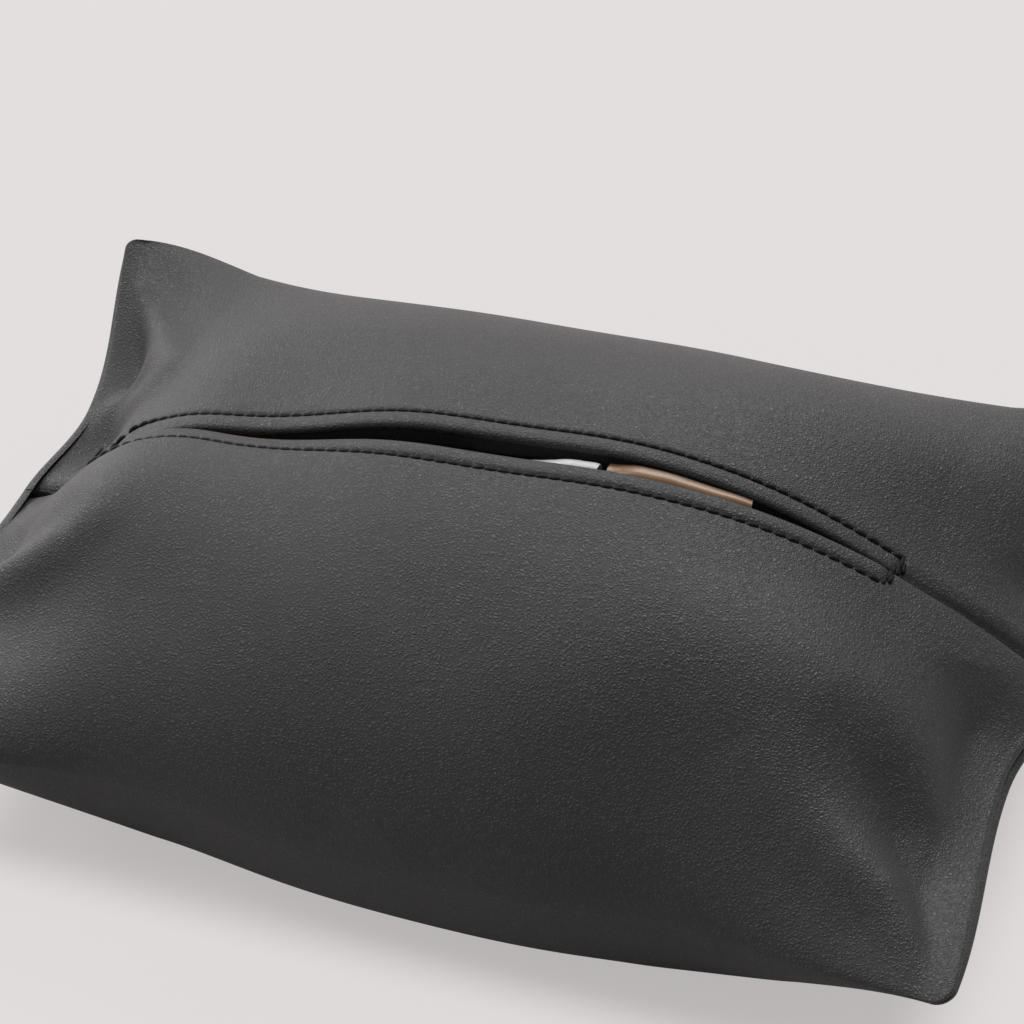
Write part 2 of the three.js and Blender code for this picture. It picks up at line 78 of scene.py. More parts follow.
def place_camera():
    bpy.ops.object.camera_add()
    camera = bpy.context.object
    camera.name = "product_camera"
    camera.data.lens = camera_lens
    camera.data.sensor_width = camera_sensor
    turn = Matrix.Rotation(math.radians(camera_azimuth), 4, "Z")
    tilt = Matrix.Rotation(math.radians(90 - camera_elevation), 4, "X")
    roll = Matrix.Rotation(math.radians(camera_roll), 4, "Z")
    pose = turn @ tilt @ roll
    pose.translation = aim_point + (turn @ tilt).to_3x3() @ Vector((0, 0, camera_distance))
    camera.matrix_world = pose
    bpy.context.scene.camera = camera
    return camera


camera = place_camera()
print("camera at", [round(value, 3) for value in camera.matrix_world.translation])

# %% [markdown]
# Every finish here is a small network of shader nodes, fed by the object's own coordinates in
# metres, so that a grain keeps its real size. Writing such a network out takes many lines. A few
# short functions make a material, add a node with its values and feeds, and tint or bump by it.

# %% Tools for materials
def set_inputs(tree, node, values):
    """Writes values into a node's inputs, and links those that are another node's outputs."""
    for name, value in values.items():
        socket = node.inputs[name.replace("_", " ") if isinstance(name, str) else name]
        if isinstance(value, bpy.types.NodeSocket):
            tree.links.new(value, socket)
        else:
            socket.default_value = value


def add_node(tree, kind, output, terms=(), **values):
    """Adds a node and gives back one output. Names in small letters are the node's own settings."""
    node = tree.nodes.new("ShaderNode" + kind)
    for name in [name for name in values if name.islower()]:
        setattr(node, name, values.pop(name))
    set_inputs(tree, node, values)
    set_inputs(tree, node, dict(enumerate(terms)))
    return node.outputs[output]


def new_material(name):
    """A material, its tree, and the object's own coordinates for its textures."""
    material = bpy.data.materials.new(name)
    material.use_nodes = True
    tree = material.node_tree
    return material, tree, add_node(tree, "TexCoord", "Object")


def set_shader(tree, **values):
    set_inputs(tree, tree.nodes["Principled BSDF"], values)


def tint(tree, amount, dark, light, start, end):
    """A colour that goes from dark to light while an amount goes from start to end."""
    ramp = tree.nodes.new("ShaderNodeValToRGB")
    for element, position, colour in zip(ramp.color_ramp.elements, (start, end), (dark, light)):
        element.position = position
        element.color = colour
    tree.links.new(amount, ramp.inputs["Fac"])
    return ramp.outputs["Color"]


def add_bump(tree, height, strength, distance, **under):
    return add_node(tree, "Bump", "Normal", Height=height, Strength=strength, Distance=distance, **under)


print("tools for materials:", [tool.__name__ for tool in (new_material, add_node, tint, add_bump)])

# %% [markdown]
# The studio is a pale floor, one large soft lamp, two smaller ones and a weak even sky. Dark
# leather shows its form by broad soft reflections, so the large lamp stands behind the pouch, where
# its top mirrors it. One of the smaller ones stands at its left end, and one hangs above. The
# front then falls off into shade. A product picture's floor is evened out before it is used, so
# the camera sees this one mostly by its own flat colour. Close to the pouch it sees more of the
# light that falls there, which keeps a soft shadow under the leather.

# %% Floor and light
floor_colour = (0.755, 0.728, 0.72, 1)
floor_size = 9
floor_drop = 0.2 * mm
floor_evenness_share = 0.93
floor_shade_share = 0.6
shade_centre = (8 * mm, 0)
shade_squash = 0.6
shade_half = (55 * mm, 69 * mm, 0)
shade_fade = 15 * mm
sky_strength = 0.3
sky_colour = (0.97, 0.98, 1, 1)

# Each lamp's name, place and size in metres, power in watts, and colour
lamps = [
    ("back_window", (-0.05, 2.4, 2.1), (2.3, 1.5), 82, (1, 0.98, 0.985)),
    ("left_window", (-2.4, 1.55, 0.6), (1.3, 0.9), 29, (1, 0.995, 1)),
    ("overhead_panel", (-1.6, -0.05, 2.1), (1.4, 1.4), 26, (1, 0.99, 1)),
]


def floor_material():
    material, tree, place = new_material("pale floor")
    set_shader(tree, Base_Color=floor_colour, Roughness=0.9, Specular_IOR_Level=0.1)
    moved = add_node(
        tree, "Mapping", "Vector", Vector=place, Scale=(shade_squash, 1, 0),
        Location=(-shade_centre[0] * shade_squash, -shade_centre[1], 0),
    )
    from_middle = add_node(tree, "VectorMath", "Vector", [moved], operation="ABSOLUTE")
    past_half = add_node(tree, "VectorMath", "Vector", [from_middle, shade_half], operation="SUBTRACT")
    outside = add_node(tree, "VectorMath", "Vector", [past_half, (0, 0, 0)], operation="MAXIMUM")
    away = add_node(tree, "VectorMath", "Value", [outside], operation="LENGTH")
    evenness = add_node(
        tree, "MapRange", "Result", Value=away, From_Max=shade_fade, To_Min=floor_shade_share,
        To_Max=floor_evenness_share, interpolation_type="SMOOTHSTEP",
    )
    seen = add_node(tree, "LightPath", "Is Camera Ray")
    share = add_node(tree, "Math", "Value", [seen, evenness], operation="MULTIPLY")
    flat = add_node(tree, "Emission", "Emission", Color=floor_colour)
    lit = tree.nodes["Principled BSDF"].outputs["BSDF"]
    mixed = add_node(tree, "MixShader", "Shader", [share, lit, flat])
    set_inputs(tree, tree.nodes["Material Output"], {"Surface": mixed})
    return material


def add_floor():
    bpy.ops.mesh.primitive_plane_add(size=floor_size, location=(0, 0, -floor_drop))
    floor = bpy.context.object
    floor.name = "studio_floor"
    floor.data.materials.append(floor_material())


def add_soft_lamp(name, place, size, energy, colour):
    bpy.ops.object.light_add(type="AREA", location=place)
    lamp = bpy.context.object
    lamp.name = name
    lamp.data.shape = "RECTANGLE"
    lamp.data.size, lamp.data.size_y = size
    lamp.data.energy = energy
    lamp.data.color = colour
    lamp.rotation_euler = (-Vector(place)).to_track_quat("-Z", "Y").to_euler()


add_floor()
for lamp in lamps:
    add_soft_lamp(*lamp)

world = bpy.data.worlds.new("studio sky")
bpy.context.scene.world = world
world.use_nodes = True
sky_values = {"Color": sky_colour, "Strength": sky_strength}
set_inputs(world.node_tree, world.node_tree.nodes["Background"], sky_values)
bpy.context.scene.view_settings.view_transform = "Standard"

# %% [markdown]
# The pouch is two leather panels, sewn together along the crown and the base and straight across
# both ends. Filled with a pack, it swells like a pillow. A pillow could be inflated in a cloth
# simulation, but the seams of this one have to stay where the frame has them. So its form is
# written as a few curves, and every leather piece is laid on that form.
#
# First come the sizes, taken from the frame's own pieces where they show there.

# %% Sizes of the pouch
panel_low, panel_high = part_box("front_panel")
hem_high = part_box("front_slit_hem")[1]
film_low, film_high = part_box("tissue_pack_film")
flap_low, flap_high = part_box("base_flap")
underlap_low, underlap_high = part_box("base_underlap")

half_length = panel_high.x
half_width = -panel_low.y
crown_height = panel_high.z
hem_past_slit_end = 2 * mm
half_slit = hem_high.x - hem_past_slit_end
leather = flap_high.z - flap_low.z
seam_gap = 0.3 * mm
crown_gap = 0.8 * mm
slit_gap = 5.2 * mm
fold_height = 30 * mm
tip_height = 33 * mm
seam_middle_height = 23 * mm
seam_middle_short = 3 * mm
seam_dip = 4.5 * mm
seam_dip_share = 0.36
tip_radius = 3.8 * mm
seam_roll = 1.3 * mm
seam_roll_run = 32 * mm
seam_allowance = 8 * mm
crown_arch_start = 11 * mm
bearing_outer = 62 * mm
bearing_inner = 42 * mm
hollow_edge = 32 * mm
hollow_rise = flap_low.z
base_flat_length = 82 * mm
base_corner_cut = 45 * mm
lip_radius = 1.2 * mm
print("pouch", round(2 * half_length, 4), "x", round(2 * half_width, 4), "x", round(crown_height, 4))

# %% [markdown]
# A real pouch is never quite even. The stuffed leather has drifted: the crown seam bows to the
# rear at both ends, the right half stands a little higher, and the rear corners are drawn in. The
# ridge is pressed down at its left end and puffed up beside that, and the front's lower edge is
# pinched in twice. These small offsets are kept apart from the main form, so that they are easy
# to read.

# %% How the filled pouch leans
crown_offset = 3.4 * mm
crown_skew = 4.3 * mm
crown_bow = 8.4 * mm
crown_twist = -1.7 * mm
crown_tilt_share = 0.035
crown_sway_share = -0.04
front_end_growth = 1.1 * mm
rear_end_growth = -5.3 * mm
end_growth_from = 92 * mm
end_growth_power = 2.9
rear_tip_lift = 7.2 * mm
left_end_short = 1.9 * mm
rear_middle_slack = 3.2 * mm
rear_slack_until = 88 * mm
rear_right_fullness = 5.4 * mm
rear_fullness_from = 35 * mm
rear_fullness_run = 60 * mm
front_slack = 0.3 * mm
front_undercut = 7 * mm
fold_rise_power = {-1: (2.0, 2.0), 1: (3.0, 2.0)}
corner_fullness = {(-1, -1): 1.2, (-1, 1): 1.0, (1, -1): 0.3, (1, 1): 0.4}
corner_fullness_peak = {(-1, -1): 0.3, (-1, 1): 0.5, (1, -1): 0.4, (1, 1): 0.45}
corner_fullness_spread = 0.24
corner_fullness_start = 0.08
left_front_fullness = 2.4 * mm
left_front_place_share = 0.2
left_front_spread_share = 0.16
stitched_left = -91.9 * mm
stitched_right = 82.5 * mm
front_line_short = 2.2 * mm

# Soft bumps along the pouch: how high, where and how wide each is, in mm
crown_bumps = [(-2.0, -46, 17), (-5.6, -106, 12), (3.0, -83, 12), (2.2, -70, 11)]
front_pinches = [(5.8, -58, 32), (4.0, 63, 25)]


def clamp01(value):
    return np.clip(value, 0, 1)


def lerp(start, end, share):
    return start + (end - start) * share


def smooth(share):
    return share * share * (3 - 2 * share)


def ramp(along, start, power):
    return clamp01((np.abs(along) * half_length - start) / (half_length - start)) ** power


def crown_drift(along):
    return crown_offset + crown_skew * along + crown_bow * along**2 + crown_twist * (along**3 - along)


def crown_scale(along):
    return 1 + crown_tilt_share * along + crown_sway_share * (along**3 - along)


def soft_bump(x, place, spread):
    return np.exp(-(((x - place) / spread) ** 2))


def bump_sum(x, bumps, total=0.0):
    for height, place, spread in bumps:
        total = total + height * mm * soft_bump(x, place * mm, spread * mm)
    return total


print("crown drift in mm:", [round(float(crown_drift(u)) / mm, 1) for u in (-1, -0.5, 0, 0.5, 1)])

# %% [markdown]
# The form itself is a point for each pair of numbers: along, from -1 at the left end to 1 at the
# right, and across, from 0 at the crown seam to 1 at the side fold. The top and the underside are
# two sheets that meet at the side fold and at the sewn ends. The leather beside an end seam is
# thickened by the folded allowance inside, and rolls down into the seam's groove.

# %% The form of the pouch
seam_rise_power = 1.9
crown_arch_power = 2.15
crown_power = 2.2
crown_round_power = 0.7
drift_power = 2.4
base_rise_power = 1.5
roll_end_power = 8
end_pull_power = 3
corner_cut_power = 4


def slit_edge(x):
    share = clamp01(np.abs(x) / half_slit)
    return lerp(crown_gap / 2, slit_gap / 2, 1 - share**2)


def end_seam_x(across, inset=0.0):
    rising = np.sin(math.pi / 2 * across / seam_dip_share) ** 2
    falling = np.cos(math.pi / 2 * (across - seam_dip_share) / (1 - seam_dip_share)) ** 2
    bump = np.where(across < seam_dip_share, rising, falling)
    corner_start = 1 - tip_radius / half_width
    bow = clamp01(across / corner_start) ** 2
    line = half_length - inset - seam_middle_short * (1 - bow) - seam_dip * bump
    corner = clamp01((across - corner_start) / (1 - corner_start))
    return line - tip_radius * (1 - np.sqrt(1 - corner**2))


def tip_z(side):
    return tip_height + (rear_tip_lift if side > 0 else 0)


def end_seam_z(side, across):
    return lerp(seam_middle_height, tip_z(side), across**seam_rise_power)


def half_width_at(side, along):
    x = along * half_length
    growth = ramp(along, end_growth_from, end_growth_power)
    if side < 0:
        return half_width - bump_sum(x, front_pinches, front_slack) + front_end_growth * growth
    slack = rear_middle_slack * (1 - ramp(along, rear_slack_until, 1))
    fullness = rear_right_fullness * smooth(clamp01((x - rear_fullness_from) / rear_fullness_run))
    fullness = fullness * (1 - ramp(along, end_growth_from, 1))
    return half_width - slack + fullness + rear_end_growth * growth


def fold_z(side, along):
    power = np.where(np.asarray(along) < 0, *fold_rise_power[side])
    return lerp(fold_height, tip_z(side), np.abs(along) ** power)


def fold_share(across, side):
    start = bearing_outer - (front_undercut if side < 0 else 0)
    share = clamp01((across * half_width - start) / (half_width - start))
    return 1 - np.sqrt(1 - share**2)


def arch_power(side, along, across):
    """How late the top falls towards the end. The corners stay full longer than the crown."""
    extra = np.where(along < 0, *(corner_fullness[(side, end)] for end in (-1, 1)))
    peak = np.where(along < 0, *(corner_fullness_peak[(side, end)] for end in (-1, 1)))
    bulge = extra * soft_bump(across, peak, corner_fullness_spread)
    return crown_arch_power + bulge * clamp01(across / corner_fullness_start)


def roll_radius(across, roll):
    return roll * np.sqrt(1 - across**roll_end_power)


def skin_x(along, across, roll, inset, side=0):
    end = end_seam_x(across, inset) - roll_radius(across, roll)
    end = end - np.where(along < 0, left_end_short, 0)
    if side < 0:
        fuller = left_front_fullness * soft_bump(across, left_front_place_share, left_front_spread_share)
        end = end + np.where(along < 0, fuller, 0) * clamp01(across / left_front_spread_share)
    return along * lerp(half_length - inset, end, np.abs(along) ** end_pull_power)


def end_thickening(along, across, roll):
    return 2 * roll_radius(across, roll) * ramp(along, half_length - seam_roll_run, 1)


def top_skin(side, along, across, roll=seam_roll, inset=0.0, wall=0.0):
    x = skin_x(along, across, roll, inset, side)
    edge = slit_edge(x) + lip_radius
    y = lerp(edge, half_width_at(side, along) - wall, across)
    fold = fold_z(side, along)
    arch = ramp(along, crown_arch_start, arch_power(side, along, across))
    hump = (1 - across**crown_power) ** crown_round_power
    crown = lerp(fold, crown_height * crown_scale(along) - wall, hump)
    end = end_seam_z(side, across) - (tip_z(side) - fold)
    z = lerp(crown, end, arch) + end_thickening(along, across, roll)
    z = z + bump_sum(x, crown_bumps) * (1 - across) ** 2
    drift = crown_drift(along) * (1 - across**drift_power)
    return np.stack([x, side * y + drift, z], -1)


def under_skin(side, along, across, roll=seam_roll, inset=0.0, wall=0.0):
    x = skin_x(along, across, roll, inset, side)
    y = lerp(seam_gap / 2, half_width_at(side, along) - wall, across)
    fold = fold_z(side, along)
    start = base_flat_length - base_corner_cut * across**corner_cut_power
    lift = ramp(along, start, base_rise_power)
    hollow = smooth(clamp01((bearing_inner - across * half_width) / (bearing_inner - hollow_edge)))
    turn_up = fold_share(across, side)
    base = lerp(wall, fold, turn_up) + hollow_rise * hollow
    end = end_seam_z(side, across) - (tip_z(side) - fold) * turn_up
    z = lerp(base, end, lift) - end_thickening(along, across, roll)
    follow = smooth(ramp(along, base_flat_length, 1))
    drift = crown_drift(along) * (1 - across**drift_power) * follow
    return np.stack([x, side * y + drift, z], -1)


sample = top_skin(-1, np.array([0.0, 1.0]), np.array([0.0, 1.0]))
print("crown lip and front right tip in mm:", np.round(sample / mm, 1).tolist())

# %% [markdown]
# A panel starts as a flat cut: a grid with one column for each step across and one row for each
# step along. Laying it on the form is then one move of its vertices. The columns are close
# together at the lip and at the fold, where the leather turns sharply.

# %% Rows and columns of a panel
lip_turn_steps = 8
end_turn_steps = 8
fine_band = 10.5 * mm
fine_step = 0.42 * mm
row_step = 1.35 * mm
rest_columns = 56
rows_per_stitch = 4
rows_past_line = 2 * mm
stitch_pitch = 2.7 * mm


def column_shares():
    fine = np.arange(0, fine_band, fine_step) / half_width
    rest = np.sin(np.linspace(math.asin(fine[-1]), math.pi / 2, rest_columns)[1:])
    return np.concatenate([fine, rest])


def row_places():
    coarse = np.arange(-half_length, half_length + row_step, row_step)
    coarse = coarse * half_length / coarse[-1]
    fine_from, fine_to = stitched_left - rows_past_line, stitched_right + rows_past_line
    fine = np.arange(fine_from, fine_to, stitch_pitch / rows_per_stitch)
    coarse = coarse[(coarse < fine[0]) | (coarse > fine[-1])]
    return np.unique(np.round(np.concatenate([coarse, fine]), 5)) / half_length


across_shares = column_shares()
along_places = row_places()
print("columns", len(across_shares), "rows", len(along_places))

# %% [markdown]
# The slit's edges are folded under and held by one long rectangle of topstitching. The stitches
# pull the leather down into a shallow groove, and the band between the groove and the lip stands
# up softly. The rectangle was sewn by hand and eye: on the left its rear line curves in, and on
# the right its short side leans, so that the front line ends first.
#
# Around it the leather has slow swells, where the pack pushes and the hand has pressed. Towards
# each corner it falls into soft folds, crests and hollows that run from the tip up to the seam.
# Each fold is a bent line with a height and a width, as one would draw it on the leather.

# %% Relief of the top
stitch_offset = 4.8 * mm
stitch_groove_depth = 0.45 * mm
stitch_groove_width = 0.6 * mm
seam_sink = {-1: 0.5 * mm, 1: 1.5 * mm}
seam_sink_width = {-1: 1.6 * mm, 1: 0.8 * mm}
seam_sink_run = 18 * mm
seam_shoulder = {-1: 0.0, 1: 0.5 * mm}
seam_shoulder_place = 4.6 * mm
seam_shoulder_width = 2.2 * mm
line_widening = 2.0 * mm
line_widening_place = -60 * mm
line_widening_run = 26 * mm
line_curve_run = 5 * mm
line_curve_depth = 6.0 * mm
line_end_fade = 1.2 * mm
sink_start_share = 0.4
relief_end_power = 14
pucker_share = 0.35
lip_puff = 0.3 * mm
swell_height = 0.45 * mm
swell_size = 34 * mm


def stitched_to(side):
    """Where the stitched line ends on the right. The short side there leans, so the front ends first."""
    return stitched_right - (front_line_short if side < 0 else 0)


def stitched_share(side, x):
    left = smooth(clamp01((x - stitched_left) / line_end_fade + 0.5))
    right = smooth(clamp01((stitched_to(side) - x) / line_end_fade + 0.5))
    return left * right


def line_offset(side, x):
    """How far a stitched line lies from the slit's edge. On the left, the rear one curves in."""
    wider = line_widening * clamp01((line_widening_place - x) / line_widening_run) ** 2
    share = clamp01((stitched_left + line_curve_run - x) / line_curve_run)
    inwards = line_curve_depth * (1 - np.sqrt(1 - share**2))
    return stitch_offset + wider - (inwards if side > 0 else 0 * share)


def leaning_side(side, away):
    """The right short side runs from the rear line's end to the front line's, which is further in."""
    middle = stitched_right - front_line_short / 2
    return middle + side * front_line_short / 2 * away / stitch_offset


def top_relief(side, x, across):
    away = across * half_width + lip_radius
    offset = line_offset(side, x)
    stitched = stitched_share(side, x)
    line = soft_bump(away, offset, stitch_groove_width) * stitched
    from_side = np.minimum(np.abs(x - stitched_left), np.abs(x - leaning_side(side, away)))
    short_side = soft_bump(from_side, 0, stitch_groove_width) * (away < offset)
    pull = 1 - pucker_share * np.cos(2 * math.pi * (x - stitched_left) / stitch_pitch)
    puff = np.sin(math.pi * clamp01(away / offset)) * stitched
    end_fade = 1 - clamp01(np.abs(x) / half_length) ** relief_end_power
    from_box = np.maximum(x - stitched_right, stitched_left - x)
    growing = lerp(sink_start_share, 1.0, clamp01(from_box / seam_sink_run))
    growing = growing * (1 - stitched) * end_fade
    sink = seam_sink[side] * np.exp(-(away - lip_radius) / seam_sink_width[side]) * growing
    shoulder = seam_shoulder[side] * soft_bump(away, seam_shoulder_place, seam_shoulder_width)
    raised = lip_puff * puff + shoulder * growing
    return raised - sink - stitch_groove_depth * np.maximum(line * pull, short_side)


# Per panel and end, in mm: from the middle, from the crown seam, height, half width
soft_folds = {
    (-1, -1): [
        [(72, 9, 0, 9), (78, 22, 1.2, 8), (80, 31, 2.2, 7), (84, 35.5, 3.0, 6.5), (91, 39, 3.6, 6.2),
         (99, 42, 3.8, 6), (107, 49, 3.0, 5.5), (113, 61, 1.8, 4.5), (117, 74, 0, 3.5)],
        [(68, 46, 0, 12), (80, 51, -0.9, 11), (89, 56, -1.2, 10), (100, 62, -1.0, 8), (108, 70, -0.6, 5),
         (114, 76, 0, 4)],
        [(99, 10, 0, 8), (105, 20, -1.4, 7), (109, 32, -2.0, 6.5), (112, 46, -1.5, 5), (115, 60, 0, 4)],
    ],
    (-1, 1): [
        [(69, 51, 0, 11), (79, 58, 1.6, 9), (86, 61.5, 2.8, 7.5), (93, 64.5, 3.4, 6.5),
         (100, 67, 3.2, 5.5), (108, 72, 2.0, 4.5), (114, 77, 0, 3.5)],
        [(80, 38, 0, 11), (88, 44, -1.6, 9), (94, 48, -2.8, 8), (101, 53, -3.2, 7), (107, 60, -2.6, 5.5),
         (112, 69, -1.4, 4), (116, 76, 0, 3)],
        [(100, 10, 0, 8), (107, 21, -3.0, 8), (110.5, 31, -4.2, 8), (112, 43, -3.6, 6.5),
         (113.5, 56, -2.4, 5), (116, 68, 0, 3)],
    ],
    (1, -1): [
        [(117, 75, 0, 3.5), (113, 68, 1.6, 4), (109, 61, 2.2, 4.5), (101, 47, 2.8, 5.5), (94, 36, 3.2, 6),
         (89.5, 28, 2.8, 5.5), (92, 21.5, 1.6, 5), (100, 20, 0.6, 4.5), (108, 21, 0, 4)],
        [(115, 62, 0, 4), (110.5, 51, -2.0, 6), (107, 42, -3.2, 7), (104.5, 34, -3.2, 6.5),
         (102, 28, 0, 5)],
        [(93, 8, 0, 7), (101, 12, -2.8, 8), (108, 16, -4.2, 8), (115, 19, -2.5, 7)],
    ],
    (1, 1): [
        [(98, 13, 0, 6), (104, 16, -1.4, 5), (110, 22, -1.4, 5), (114, 32, 0, 5)],
    ],
}


def corner_of(side, x):
    return side, (-1 if float(np.mean(x)) < 0 else 1)


def fold_heights(side, x, across):
    """The sum of a corner's soft folds. Each is a bent line of places with a height and a half width."""
    from_middle, y = np.abs(x) / mm, across * half_width / mm
    total = 0 * y
    for line in soft_folds[corner_of(side, x)]:
        nearest = np.full_like(y, np.inf)
        rise = 0 * y
        for (x0, y0, height0, width0), (x1, y1, height1, width1) in zip(line, line[1:]):
            run_x, run_y = x1 - x0, y1 - y0
            share = ((from_middle - x0) * run_x + (y - y0) * run_y) / (run_x**2 + run_y**2)
            share = clamp01(share)
            away = np.hypot(from_middle - x0 - share * run_x, y - y0 - share * run_y)
            here = lerp(height0, height1, share) * np.exp(-((away / lerp(width0, width1, share)) ** 2))
            rise = np.where(away < nearest, here, rise)
            nearest = np.minimum(nearest, away)
        total = total + rise
    return total * mm


def swell(points):
    heights = [noise.noise(Vector(point) / swell_size) for point in points.reshape(-1, 3)]
    return swell_height * np.array(heights).reshape(points.shape[:-1])


print("stitches lie", round(stitch_offset / mm, 1), "mm from the lips")

# %% [markdown]
# Each piece is made by a few steps that come again and again: select it, apply a modifier, cut it
# with another piece, merge its doubled vertices, smooth its shading, copy it, join it to others.
# They are written once here. A swept or draped piece starts as a grid whose vertices are moved.

# %% Tools for pieces
doubled_within = 0.002 * mm


def select_only(piece):
    bpy.ops.object.select_all(action="DESELECT")
    bpy.context.view_layer.objects.active = piece
    piece.select_set(True)


def select_all(piece, state):
    select_only(piece)
    bpy.ops.object.mode_set(mode="EDIT")
    bpy.ops.mesh.select_all(action=state)


def newly_added(name):
    """The object that was just added, with its name, and with its size and place made real."""
    piece = bpy.context.object
    piece.name = name
    piece.data.name = name
    bpy.ops.object.transform_apply(location=True, rotation=True, scale=True)
    return piece


def grid_on_points(name, points):
    """A grid primitive whose vertices are moved to points, an array of rows, columns and places."""
    rows, columns = points.shape[:2]
    bpy.ops.mesh.primitive_grid_add(x_subdivisions=columns - 1, y_subdivisions=rows - 1, size=1)
    piece = newly_added(name)
    set_places(piece, points)
    return piece


def set_places(piece, places):
    piece.data.vertices.foreach_set("co", np.asarray(places, dtype=np.float32).ravel())
    piece.data.update()


def close_and_face_out(piece, distance=doubled_within):
    select_all(piece, "SELECT")
    bpy.ops.mesh.remove_doubles(threshold=distance)
    bpy.ops.mesh.dissolve_degenerate(threshold=distance)
    bpy.ops.mesh.normals_make_consistent(inside=False)
    bpy.ops.object.mode_set(mode="OBJECT")


def smooth_by_angle(piece, degrees):
    select_only(piece)
    bpy.ops.object.shade_smooth_by_angle(angle=math.radians(degrees))


def apply_modifier(piece, kind, **settings):
    select_only(piece)
    modifier = piece.modifiers.new(kind.lower(), kind)
    for name, value in settings.items():
        setattr(modifier, name, value)
    bpy.ops.object.modifier_apply(modifier=modifier.name)


def cut_away(piece, cutter):
    apply_modifier(piece, "BOOLEAN", operation="DIFFERENCE", object=cutter)
    bpy.data.objects.remove(cutter)


def cut_block(piece, low, high):
    low, high = Vector(low), Vector(high)
    bpy.ops.mesh.primitive_cube_add(size=1, location=(low + high) / 2, scale=high - low)
    cut_away(piece, bpy.context.object)


def cut_hole(piece, x, y, radius, low, high):
    place = (x, y, (low + high) / 2)
    bpy.ops.mesh.primitive_cylinder_add(vertices=40, radius=radius, depth=high - low, location=place)
    cut_away(piece, bpy.context.object)


def copy_of(original, name):
    copy = original.copy()
    copy.data = original.data.copy()
    copy.name = name
    bpy.context.collection.objects.link(copy)
    return copy


def join_pieces(pieces, name):
    select_only(pieces[0])
    for piece in pieces:
        piece.select_set(True)
    bpy.ops.object.join()
    joined = bpy.context.object
    joined.name = name
    joined.data.name = name
    return joined


def finish_with(piece, *materials):
    piece.data.materials.clear()
    for material in materials:
        piece.data.materials.append(material)


print("tools for pieces:", [tool.__name__ for tool in (grid_on_points, cut_away, join_pieces)])

# %% [markdown]
# One loop of points goes round the panel at each row: up round the lip, down the top, round the
# fold, back under the base, and home along the inner face. The end rows roll down into the groove
# of the end seam, where the two layers meet, so the panel closes by itself when its doubled
# vertices are merged.

# %% Lay a panel on the form
inner_clearance = 2.0 * mm
clearance_from = 60 * mm
outward_share = 0.7
outward_from = 84 * mm
outward_run = 18 * mm
relief_until = 112 * mm
relief_side_power = 6
swell_end_power = 4
lining_end_power = 10
tip_drop_power = 3
tip_filling = 2.5 * mm
tip_filling_from = 70 * mm
tip_filling_power = 1.5
tip_lining_drop = 3.5 * mm
lower_bead_reach = 1.0 * mm
least_radius = 0.01 * mm


def body_relief(side, top, along, across):
    """How far the skin moves up, and how far it moves outwards, towards the end."""
    crest = fold_heights(side, top[:, 0], across)
    crest = crest * (1 - ramp(np.array(along), relief_until, 1))
    steep = smooth(clamp01((np.abs(top[:, 0]) - outward_from) / outward_run))
    side_fade = 1 - across**relief_side_power
    outward = np.sign(top[:, 0]) * crest * steep * outward_share * side_fade
    return crest + swell(top) * side_fade * (1 - abs(along) ** swell_end_power), outward


def outer_row(side, along, turn):
    """turn is 90 degrees on the skin and -90 in the end seam's groove."""
    across = across_shares
    along_here = np.full_like(across, along)
    top = top_skin(side, along_here, across)
    under = under_skin(side, along_here, across)
    if abs(along) < 1:
        up, outward = body_relief(side, top, along, across)
        top[:, 2] += top_relief(side, top[:, 0], across) + up
        top[:, 0] += outward
    radius = roll_radius(across, seam_roll)
    end = math.copysign(1, along)
    forward = radius * math.cos(turn) * end
    drop = radius * (1 - math.sin(turn))
    lip = lip_radius * (1 + math.sin(turn)) / 2
    top = top + np.stack([forward, side * (lip - lip_radius) * (1 - across), -drop], -1)
    bead = lower_bead_reach * (1 - across**roll_end_power)
    lower = forward * (radius + bead) / np.maximum(radius, least_radius)
    under = under + np.stack([lower, 0 * across, drop], -1)
    edge = top[0]
    round_lip = [
        [edge[0], edge[1] - side * lip * math.cos(angle), edge[2] - lip + lip * math.sin(angle)]
        for angle in np.linspace(-math.pi / 2, math.pi / 2, lip_turn_steps + 1)[:-1]
    ]
    return np.concatenate([np.array(round_lip), top, under[::-1][1:]])


def inner_row(side, along):
    across = np.unique(np.append(across_shares[::4], 1.0))
    along_here = np.full_like(across, along)
    wall = leather + tip_filling * ramp(along_here, tip_filling_from, tip_filling_power)
    sizes = dict(roll=0.0, inset=seam_allowance, wall=wall)
    top = top_skin(side, along_here, across, **sizes)
    under = under_skin(side, along_here, across, **sizes)
    rising = ramp(along_here, clearance_from, 1)
    clear = inner_clearance * rising * (1 - abs(along) ** lining_end_power) * across
    drop = tip_lining_drop * across**tip_drop_power * rising
    up, outward = body_relief(side, top, along, across)
    top[:, 2] += np.minimum(up, 0) - clear - drop
    top[:, 0] += np.where(outward * top[:, 0] < 0, outward, 0)
    under[:, 2] -= drop
    return np.concatenate([under, top[::-1][1:]])


def panel_loops(side):
    turns = np.linspace(math.pi / 2, -math.pi / 2, end_turn_steps + 1)[1:]
    skin = [(along, math.pi / 2) for along in along_places]
    rows = [(-1.0, turn) for turn in turns[::-1]] + skin + [(1.0, turn) for turn in turns]
    loops = []
    for along, turn in rows:
        loop = np.concatenate([outer_row(side, along, turn), inner_row(side, along)])
        loops.append(np.concatenate([loop, loop[:1]]))
    return np.array(loops)


